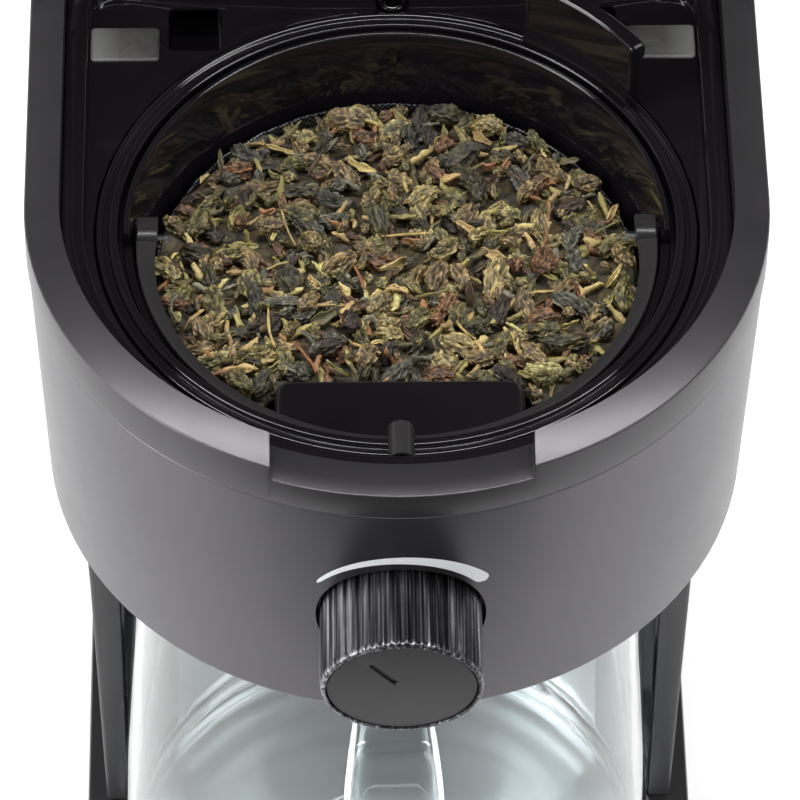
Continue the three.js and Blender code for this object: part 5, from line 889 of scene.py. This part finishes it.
def jug_handle():
    """Flattened glass bar swept along a smooth curve through a few points of (reach, z)."""
    points = [(66, 204), (86.75, 204), (97, 199.5), (106, 186), (103.75, 146), (97, 88), (83.4, 64.5), (72.9, 60)]
    path = []
    for i in range(len(points) - 1):
        corners = (points[max(i - 1, 0)], points[i], points[i + 1], points[min(i + 2, len(points) - 1)])
        for t in (n / 10 for n in range(10)):
            path.append(tuple(0.5 * (2 * b + (c - a) * t + (2 * a - 5 * b + 4 * c - d) * t * t
                                     + (3 * b - a - 3 * c + d) * t ** 3) for a, b, c, d in zip(*corners)))
    path.append(points[-1])
    total = [0.0]
    for a, b in zip(path, path[1:]):
        total.append(total[-1] + math.dist(a, b))
    rings = []
    for i, (reach, z) in enumerate(path):
        share = total[i] / total[-1]
        before, after = path[max(i - 1, 0)], path[min(i + 1, len(path) - 1)]
        tx, tz = after[0] - before[0], after[1] - before[1]
        length = math.hypot(tx, tz)
        half, thick = 10.0 + 3.0 * math.exp(-((share - 0.22) / 0.1) ** 2), 4.5
        ring = []
        for c, s in circle(1.0, 40):
            aside = half * math.copysign(abs(c) ** 0.62, c)
            deep = thick * math.copysign(abs(s) ** 0.62, s) / length
            ring.append((aside, -(reach + deep * tz), z - deep * tx))
        rings.append(ring)
    return loft(rings)


def jug():
    foot, top, wall, floor = 27.5, 210.0, 3.0, 32.5
    height = top - foot
    shares = (0.08, 0.13, 0.19, 0.26, 0.34, 0.42, 0.5, 0.57, 0.63, 0.7, 0.78, 0.86, 0.91, 0.95, 0.98)
    profile = [(0.0, foot + 0.8), (64.0, foot + 0.8), (66.0, foot), (71.5, foot), (74.5, foot + 1.0),
               (76.4, foot + 3.2), (77.0, foot + 6.5)]
    profile += [(jug_outer(share), foot + height * share) for share in shares]
    profile += [(67.5, top - 1.2), (67.0, top - 0.3), (66.0, top), (65.1, top - 0.3), (64.5, top - 1.2)]
    profile += [(jug_outer(share) - wall, foot + height * share) for share in reversed(shares[1:])]
    profile += [(73.6, floor + 5.5), (72.4, floor + 2.2), (69.5, floor + 0.5), (64.0, floor), (0.0, floor - 0.6)]
    shell = loft([jug_ring(max(radius, 0.01), z, top) for radius, z in profile])
    aside = shift(JUG_SHIFT, 0, 0)
    skin("jug", turned(shell, aside), "jug", "clear_glass", add=[turned(jug_handle(), aside)], sharp=50)


def jug_lid():
    profile = fillet([
        (11, 213.9, 0.4), (60, 213.2, 1), (62, 211.8, 0.5), (62, 201, 0.4), (63.9, 201, 0.6), (63.9, 209.8, 0.2),
        (67.5, 210.3, 0.3), (67.5, 211.6, 0.8), (63, 214.6, 2), (40, 215.7, 2), (14, 215.7, 0.6), (11, 214.9, 0.6)])
    hole = turned(rod(1.6, -8, 8), shift(52, 0, 213))
    holes = [turned(hole, Matrix.Rotation(QUARTER + math.radians(14) * i, 4, "Z")) for i in range(-2, 3)]
    skin("jug_lid", lathe(profile), "jug", "gloss_black", cut=holes)


def jug_rest():
    profile = fillet([(0, 25.1, 0), (80, 25.1, 0.3), (80, 27.0, 0.6), (77.5, 27.2, 0.3), (77.0, 26.9, 0.2),
                      (76.0, 26.9, 0.2), (75.5, 27.2, 0.3), (30, 27.2, 0.3), (29.4, 26.8, 0.2), (0, 26.8, 0)])
    skin("jug_rest", lathe(profile), "housing", "alloy")


jug()
jug_lid()
jug_rest()


# Column behind the jug


def column_plan(z, half, back, corner, front, recess):
    """Plan of the column, whose front is hollowed for the jug."""
    steps, edge = 8, 1.2
    reach = math.sqrt(recess * recess - front * front)
    left, right = math.atan2(front, -reach), math.atan2(front, reach)
    hollow = arc(recess, left, right - left, 64)[1:-1]
    return at(arc(corner, 0, QUARTER, steps, half - corner, back - corner)
              + arc(corner, QUARTER, QUARTER, steps, corner - half, back - corner)
              + arc(edge, math.pi, QUARTER, 4, edge - half, front + edge)
              + [(-reach - 0.8, front), (-reach - 0.25, front + 0.2)] + hollow
              + [(reach + 0.25, front + 0.2), (reach + 0.8, front)]
              + arc(edge, 3 * QUARTER, QUARTER, 4, half - edge, front + edge), z)


def recess_lining(first, last):
    """Thin strip on the column's hollow, between two of its 72 steps."""
    plan, edge = [], 26.5
    for radius, way in ((80.35, 1), (79.8, -1)):
        start = math.asin(edge / radius)
        plan += arc(radius, start, math.pi - 2 * start, 72)[first:last + 1][::way]
    return prism(plan, 27.4, 221.4)


def column():
    shell = loft([column_plan(z, half, 108.8, 14, 26.0, 80.4)
                  for z, half in ((26.3, 82.4), (125, 84.4), (175, 86.2), (221.7, 87.6))])
    room = loft([column_plan(z, half, 106.2, 11.4, 32.0, 83.0)
                 for z, half in ((20.0, 80.2), (125, 82.0), (230.0, 85.2))])
    skin("column_shell", shell, "housing", "charcoal_trim",
         cut=[room, block(-69, 69, 100, 120, 43, 202)], material=FINISH["column_grey"])
    piece("recess_left", recess_lining(64, 72), "housing", "gloss_black")
    piece("recess_middle", recess_lining(8, 64), "housing", "alloy")
    piece("recess_right", recess_lining(0, 8), "housing", "gloss_black")
    narrow, wide = box_plan(71.5, 109.2, 110.9, 0.4, 0.4, 3), box_plan(72, 109.15, 111.05, 0.4, 0.5, 3)
    panel = loft([at(narrow, 40.0), at(wide, 40.5), at(wide, 204.5), at(narrow, 205.0)])
    skin("rear_panel", panel, "housing", "charcoal_trim")


column()


# Brew lid, drawn shut and turned up about its hinge

LID_OPEN = shift(0, *LID_AXIS) @ Matrix.Rotation(-QUARTER, 4, "X") @ shift(0, -LID_AXIS[0], -LID_AXIS[1])


def opened(*shapes):
    return [turned(shape, LID_OPEN) for shape in shapes]


def dome(inset, foot):
    """Sections of the lid from its foot up over the round edge to the crown."""
    sections = [(95 - inset, 88 - inset, 14 - inset * 0.8, foot)]
    if foot < 313.5:
        sections.append((95 - inset, 88 - inset, 14 - inset * 0.8, 313.6))
    sections.append((94.4 - inset, 87.4 - inset, 13.6 - inset * 0.8, 319))
    for i in range(9):
        turn = QUARTER * i / 8
        fall = 16 * (1 - math.cos(turn))
        sections.append((94 - inset - fall, 87 - inset - fall, max(13 - inset * 0.8 - fall * 0.2, 6),
                         323 + 12 * math.sin(turn) - inset * min(turn / 1.2, 1)))
    top = 335 - inset
    for share in (0.35, 0.7, 1.0):
        sections.append((78 - inset - (48 - inset) * share, 71 - inset - (48 - inset) * share, 9, top + 2 * share))
    sections.append((4, 3, 2, top + 2.3))
    return d_ring(sections, closed=False)


def lid_shell():
    tab = loft([at(front_arc(reach, 31.9, 24) + list(reversed(front_arc(86.5, 31.9, 24))), z)
                for z, reach in ((308.6, 94.4), (309.4, 95.0), (316.0, 95.0))])
    arms, holes = [], []
    for x in (-LID_ARM_X, LID_ARM_X):
        arms += [block(x - 3.7, x + 3.7, 84.5, 93.5, 317.3, 323.9), pin(4.5, 3.7, x, LID_AXIS, 0.4)]
        holes.append(pin(2.3, 9, x, LID_AXIS))
    skin("lid_shell", *opened(dome(0.0, 313.0)), "brew_lid", "charcoal_trim", add=opened(tab, *arms),
         cut=opened(dome(2.4, 308.0), *holes))


def lid_spreader():
    profile = fillet([(0, 317, 0), (57.2, 317, 1.0), (58, 321, 0.5), (56.4, 321, 0.5), (55.6, 318.6, 1.0),
                      (0, 318.6, 0)])
    holes = [turned(rod(2.0, 310, 325), shift(x, y, 0)) for x, y in circle(26, 12)]
    posts = [turned(rod(3.2, 317.4, 333.6), shift(x, y, 0)) for x, y in circle(40, 4, QUARTER / 2)]
    skin("lid_spreader", *opened(lathe(profile)), "brew_lid", "gloss_black", add=opened(*posts),
         cut=opened(*holes))


lid_shell()
lid_spreader()


# Water tank and its lid


def tank_plan(inset):
    return box_plan(86 - inset, 114.5 + inset, 186.5 - inset, max(6 - inset, 0.6), 22 - inset)


def water_tank():
    edge = [(26.3, 1.4), (26.7, 0.6), (27.6, 0.0), (281.2, 0.0), (281.8, 0.3), (282.0, 0.8)]
    pad, recess, hole = (turned(shape, shift(0, TANK_Y, 0))
                         for shape in (rod(20, 28.0, 36.7, edge=0.5), rod(17.5, 20, 34.3), rod(6.6, 20, 60)))
    ears = []
    for x in (-30, 30):
        ears += [pin(4.0, 2.5, x, TANK_AXIS, 0.4), block(x - 2.5, x + 2.5, 185.2, 190.5, 270, 278)]
    skin("water_tank", loft([at(tank_plan(inset), z) for z, inset in edge]), "water_tank", "smoke_tank",
         cut=[prism(tank_plan(2.4), 28.7, 300)], more=[pad] + ears,
         bore=[recess, hole, pin(1.9, 40, 0, TANK_AXIS)])


def tank_lid():
    edge = [(282.3, 0.4), (282.6, 0.05), (283.0, 0.0), (287.3, 0.0), (288.45, 0.23), (289.42, 0.88), (290.07, 1.85),
            (290.3, 3.0)]
    grip = loft([at(box_plan(13.5 - inset, 113.2 + inset, 150, 1.4, 1.4, 3), z)
                 for z, inset in [(284.9, 0.2), (285.3, 0), (286.9, 0), (287.3, 0.2)]])
    skirt, hollow = prism(tank_plan(3.0), 277.0, 282.6), prism(tank_plan(5.4), 270.0, 285.5)
    hinge = [pin(4.0, 26.9, 0, TANK_AXIS, 0.4), block(-26.9, 26.9, 186.8, 194.5, 278, 284.7),
             block(-26.9, 26.9, 184.1, 194.5, 282.3, 284.7)]
    skin("tank_lid", loft([at(tank_plan(inset), z) for z, inset in edge]), "tank_lid", "charcoal_trim",
         add=[skirt, grip], cut=[hollow, block(-90, 90, 164.5, 190, 270, 282.3)], more=hinge,
         bore=[pin(1.9, 40, 0, TANK_AXIS)])


def valve_spring():
    turns, per, wire = 4.5, 28, 0.42
    rings = []
    total = int(turns * per)
    for i in range(total + 1):
        angle = TAU * i / per
        radial = Vector((math.cos(angle), math.sin(angle), 0))
        centre = radial * 3.95 + Vector((0, TANK_Y, 39.75 + 4.1 * i / total))
        rings.append([tuple(centre + radial * x + Vector((0, 0, z))) for x, z in circle(wire, 8)])
    piece("tank_valve_spring_coil", loft(rings), "tank_valve", "bright_steel", ["tank_valve_spring"])


water_tank()
tank_lid()
valve_spring()


# Base with its feet and start button


def base_housing():
    edge = [(4.0, 1.3), (4.3, 0.6), (4.9, 0.15), (5.6, 0.0), (24.2, 0.0), (25.1, 0.15), (25.7, 0.5), (26.0, 1.1)]
    outer = d_ring([(88 - inset, 188 - inset, 14 - inset * 0.5, z) for z, inset in edge], closed=False)
    inside = d_ring([(85.4, 185.4, 11.4, -4), (85.4, 185.4, 11.4, 23.4)], closed=False)
    recess = rod(80.3, 24.8, 40, steps=192)
    hose = block(-50, 50, 89, 106, 18, 40)
    dock = turned(rod(8.3, 10, 40), shift(0, TANK_Y, 0))
    button = turned(rod(8.3, -6, 10), along_y(0, -88, BUTTON_Z))
    gland = turned(rod(5.2, -8, 8), along_y(-58, 188, BUTTON_Z))
    skin("base_housing", outer, "housing", "charcoal_trim", cut=[inside, recess, hose, dock, button, gland])


def feet():
    profile = fillet([(0, 0.4, 0), (5.5, 0.4, 0.4), (6.2, 0, 0.3), (9, 0, 1.0), (8.6, 4, 0.4), (4, 4, 0.1),
                      (4, 6.7, 0.3), (0, 6.7, 0)])
    for name, x, y in (("front_left", -53, -44), ("front_right", 53, -44), ("rear_left", -67.9, 162),
                       ("rear_right", 67.9, 162)):
        skin(f"foot_{name}", turned(lathe(profile, 64), shift(x, y, 0)), "housing", "black_rubber")


def start_button():
    profile = fillet([(0, 3.6, 0), (8, 3.6, 0.3), (8, -1.6, 0.9), (6.6, -2.4, 0.9), (5.0, -1.7, 1.6), (0, -1.5, 0)])
    body, stem = (turned(shape, along_y(0, -88, BUTTON_Z)) for shape in (lathe(profile, 96), rod(2.4, 3.4, 7.6)))
    skin("start_button", body, "start_button", "gloss_black", add=[stem])


base_housing()
feet()
start_button()


# Tea: a low heap with loose leaves, crumbs, strips and stems lying over it

TEA_REACH = 62.0
TEA_FLOOR = 242.8
TEA_TOP = 297.0
POCKET_HALF = 33
POCKET_Y = -45.4
TEA_TONES = [(rgb(244, 220, 150), 0.18), (rgb(214, 184, 128), 0.19), (rgb(182, 170, 104), 0.19),
             (rgb(118, 110, 74), 0.15), (rgb(146, 144, 126), 0.10), (rgb(190, 138, 94), 0.10), (rgb(104, 82, 62), 0.09)]
STEM_TONES = (rgb(206, 178, 112), rgb(160, 104, 70), rgb(140, 134, 84))


def tea_surface(x, y):
    """Height of the heap: it slopes toward the front, with bumps of the leaves' size."""
    bump = noise.noise(Vector((x * 0.09, y * 0.09, 3.1))) * 1.5 + noise.noise(Vector((x * 0.24, y * 0.24, 8.7))) * 0.9
    return 284.2 - 0.096 * y + bump


def tea_limits(x, y, z, margin=0.0):
    """Keeps a point inside the filter's wall and out of its front pocket."""
    reach = filter_radius(z) - 2.2 - margin
    length = math.hypot(x, y)
    if length > reach:
        x, y = x * reach / length, y * reach / length
    if z < TEA_TOP and abs(x) < POCKET_HALF and y < POCKET_Y:
        y = POCKET_Y
    return x, y, min(max(z, TEA_FLOOR), TEA_TOP)


def pick_tone(draw):
    share = draw.random()
    for tone, part in TEA_TONES:
        share -= part
        if share <= 0:
            break
    return shaded(tone, 0.75 + 0.5 * draw.random())


def leaf(draw, here, turn, length, width, tone, stem=False):
    """One rolled leaf: a strip bent along its length and curled across it, with ragged edges."""
    along, rows = (9, 3) if stem else (10, 5)
    bend = (draw.random() - 0.5) * (1.5 if stem else 2.6)
    twist = (draw.random() - 0.5) * (2.0 if stem else 4.5)
    curl = 5.2 if stem else 2.4 + 2.6 * draw.random()
    wave = draw.random() * TAU
    ragged = 0.12 if stem else 0.34
    points, tones, spine = [], [], []
    direction, centre = 0.0, Vector((0, 0, 0))
    for i in range(along):
        spine.append((centre.copy(), direction))
        direction += bend / (along - 1) * (1 + 0.9 * math.sin(wave + 7 * i / (along - 1)))
        centre += Vector((math.cos(direction), 0, math.sin(direction))) * length / (along - 1)
    middle = spine[along // 2][0]
    for i, (base, direction) in enumerate(spine):
        share = i / (along - 1)
        taper = math.sin(math.pi * min(max(share * 0.94 + 0.03, 0), 1)) ** (0.35 if stem else 0.55)
        half = width * 0.5 * taper * (1 + 0.22 * math.sin(wave * 3 + 11 * share))
        radius = max(half * 2 / curl, 0.12)
        c, s = math.cos(twist * share), math.sin(twist * share)
        normal = Vector((-math.sin(direction), 0, math.cos(direction)))
        side = Vector((0, 1, 0))
        for n in range(rows):
            angle = curl * (n / (rows - 1) - 0.5)
            y, z = radius * math.sin(angle), radius * (1 - math.cos(angle))
            point = base - middle + side * (y * c - z * s) + normal * (y * s + z * c)
            point += Vector((draw.random() - 0.5, draw.random() - 0.5, draw.random() - 0.5)) * ragged
            points.append(turn @ point + here)
            tones.append(shaded(tone, 0.82 + 0.36 * draw.random()))
    faces = []
    for i in range(along - 1):
        for a in range(i * rows, (i + 1) * rows - 1):
            faces.append((a, a + 1, a + rows + 1, a + rows))
    return points, faces, tones


def tea_piece(name, points, faces, tones, nodes, sharp):
    mesh = bpy.data.meshes.new(name)
    mesh.from_pydata([place(point) for point in points], [], faces)
    attribute = mesh.attributes.new("tone", "FLOAT_COLOR", "POINT")
    attribute.data.foreach_set("color", [c for tone in tones for c in tone])
    obj = to_object(name, mesh)
    dress(obj, "tea_filter", "rolled_tea", nodes, sharp)
    return obj


def tea_heap():
    draw = random.Random(21)
    rings, per = 56, 168
    points, tones = [], []
    for i in range(rings + 1):
        for n in range(per):
            angle = TAU * n / per
            reach = TEA_REACH * (i + 0.001) / rings
            x, y = reach * math.cos(angle), reach * math.sin(angle)
            points.append(tea_limits(x, y, tea_surface(x, y), 1.0))
            # the heap, seen only in the gaps between loose leaves, is painted at 0.16 of their tone: painted shade
            tones.append(shaded(pick_tone(draw), 0.16))
    for x, y in circle(57.5, per):
        points.append(tea_limits(x, y, 243.0, 1.0))
        # the heap's lowest ring against the filter wall is painted nearly black: painted shade
        tones.append((0.02, 0.02, 0.015, 1))
    faces = []
    for i in range(rings + 1):
        for n in range(per):
            m = (n + 1) % per
            faces.append((i * per + n, i * per + m, (i + 1) * per + m, (i + 1) * per + n))
    faces.append(tuple(range(per)))
    faces.append(tuple((rings + 1) * per + n for n in reversed(range(per))))
    tea_piece("tea_heap", points, faces, tones, ["tea_leaves"], 180)


def ball(level):
    """Points and faces of an evenly divided ball."""
    work = bmesh.new()
    bmesh.ops.create_icosphere(work, subdivisions=level, radius=1.0)
    work.verts.index_update()
    points = [vertex.co.copy() for vertex in work.verts]
    faces = [tuple(vertex.index for vertex in face.verts) for face in work.faces]
    work.free()
    return points, faces


def crest(point, scale, offset):
    """1 on the crest of a fold and 0 deep in a crease."""
    return max(0.0, 1 - 3.0 * abs(noise.noise(point * scale + offset)))


def nugget(draw, shape, here, turn, size, tone):
    """One crumpled leaf: a ball drawn out and folded along its length, with painted shade in the creases and painted
    highlights on the crests.
    """
    offset = Vector((draw.random(), draw.random(), draw.random())) * 40
    length, width, height = size
    bend = (draw.random() - 0.5) * 1.4
    points, tones = [], []
    for way in shape[0]:
        folds = Vector((way.x * 0.5, way.y, way.z))
        broad, middle, fine = (crest(folds, scale, offset) for scale in (1.3, 2.9, 6.5))
        reach = 0.50 + 0.30 * broad + 0.26 * middle + 0.13 * fine
        x = way.x * length * (0.75 + 0.25 * reach)
        point = Vector((x, way.y * width * reach, way.z * height * reach + bend * x * x / length * 0.4))
        points.append(turn @ point + here)
        # tone darkened deep in the creases and lightened on the crests: painted shade and painted highlights
        tones.append(shaded(tone, 0.03 + 1.45 * (0.15 * broad + 0.45 * middle + 0.40 * fine) ** 2.1))
    return points, shape[1], tones


def spread(draw, count, gap):
    """Places over the heap at least a gap apart."""
    places = []
    for _ in range(count * 12):
        x, y = (draw.random() * 2 - 1) * TEA_REACH, (draw.random() * 2 - 1) * TEA_REACH
        if math.hypot(x, y) > 60.5 or (abs(x) < POCKET_HALF + 1 and y < -43.0):
            continue
        if all((x - a) ** 2 + (y - b) ** 2 > gap * gap for a, b in places):
            places.append((x, y))
        if len(places) == count:
            break
    return places


def tea_layer(name, kind, count, gap, lift, seed):
    """Loose leaves of one kind over the heap: crumpled nuggets, crumbs, curled strips or stems."""
    draw = random.Random(seed)
    points, faces, tones = [], [], []
    shape = ball(4 if kind == "nugget" else 3)
    flat = 0.5 if kind == "stem" else 1.1
    for k, (x, y) in enumerate(spread(draw, count, gap)):
        tone = pick_tone(draw)
        here = Vector((x, y, tea_surface(x, y) + lift + 1.4 * draw.random()))
        turn = (Matrix.Rotation(draw.random() * TAU, 4, "Z")
                @ Matrix.Rotation((draw.random() - 0.5) * flat, 4, "Y")
                @ Matrix.Rotation(draw.random() * TAU, 4, "X"))
        if kind in ("nugget", "crumb"):
            grow = (0.8 + 0.5 * draw.random()) * (1.0 if kind == "nugget" else 0.5)
            size = [grow * (least + more * draw.random()) for least, more in ((3.6, 1.8), (2.3, 0.8), (1.9, 0.7))]
            loose = nugget(draw, shape, here, turn, size, tone)
        elif kind == "strip":
            loose = leaf(draw, here, turn, 4.5 + 5.5 * draw.random(), 1.8 + 2.4 * draw.random(), tone)
        else:
            loose = leaf(draw, here, turn, 9 + 6 * draw.random(), 1.1 + 0.7 * draw.random(), STEM_TONES[k % 3], True)
        base = len(points)
        points += [tea_limits(*point) for point in loose[0]]
        faces += [tuple(base + i for i in face) for face in loose[1]]
        tones += loose[2]
    obj = tea_piece(name, points, faces, tones, [], 75)
    if kind in ("strip", "stem"):
        thick = obj.modifiers.new("thickness", "SOLIDIFY")
        thick.thickness = 0.3 * MM
        thick.offset = 0
        thick.use_even_offset = False


tea_heap()
tea_layer("tea_lower", "nugget", 90, 7.5, 0.4, 4)
tea_layer("tea_middle", "nugget", 90, 7.5, 1.4, 14)
tea_layer("tea_upper", "nugget", 70, 9.0, 3.0, 9)
tea_layer("tea_crumbs_low", "crumb", 150, 5.0, 0.8, 31)
tea_layer("tea_crumbs", "crumb", 150, 5.0, 2.6, 32)
tea_layer("tea_strips", "strip", 330, 3.6, 1.8, 33)
tea_layer("tea_stems", "stem", 16, 12.0, 3.6, 34)
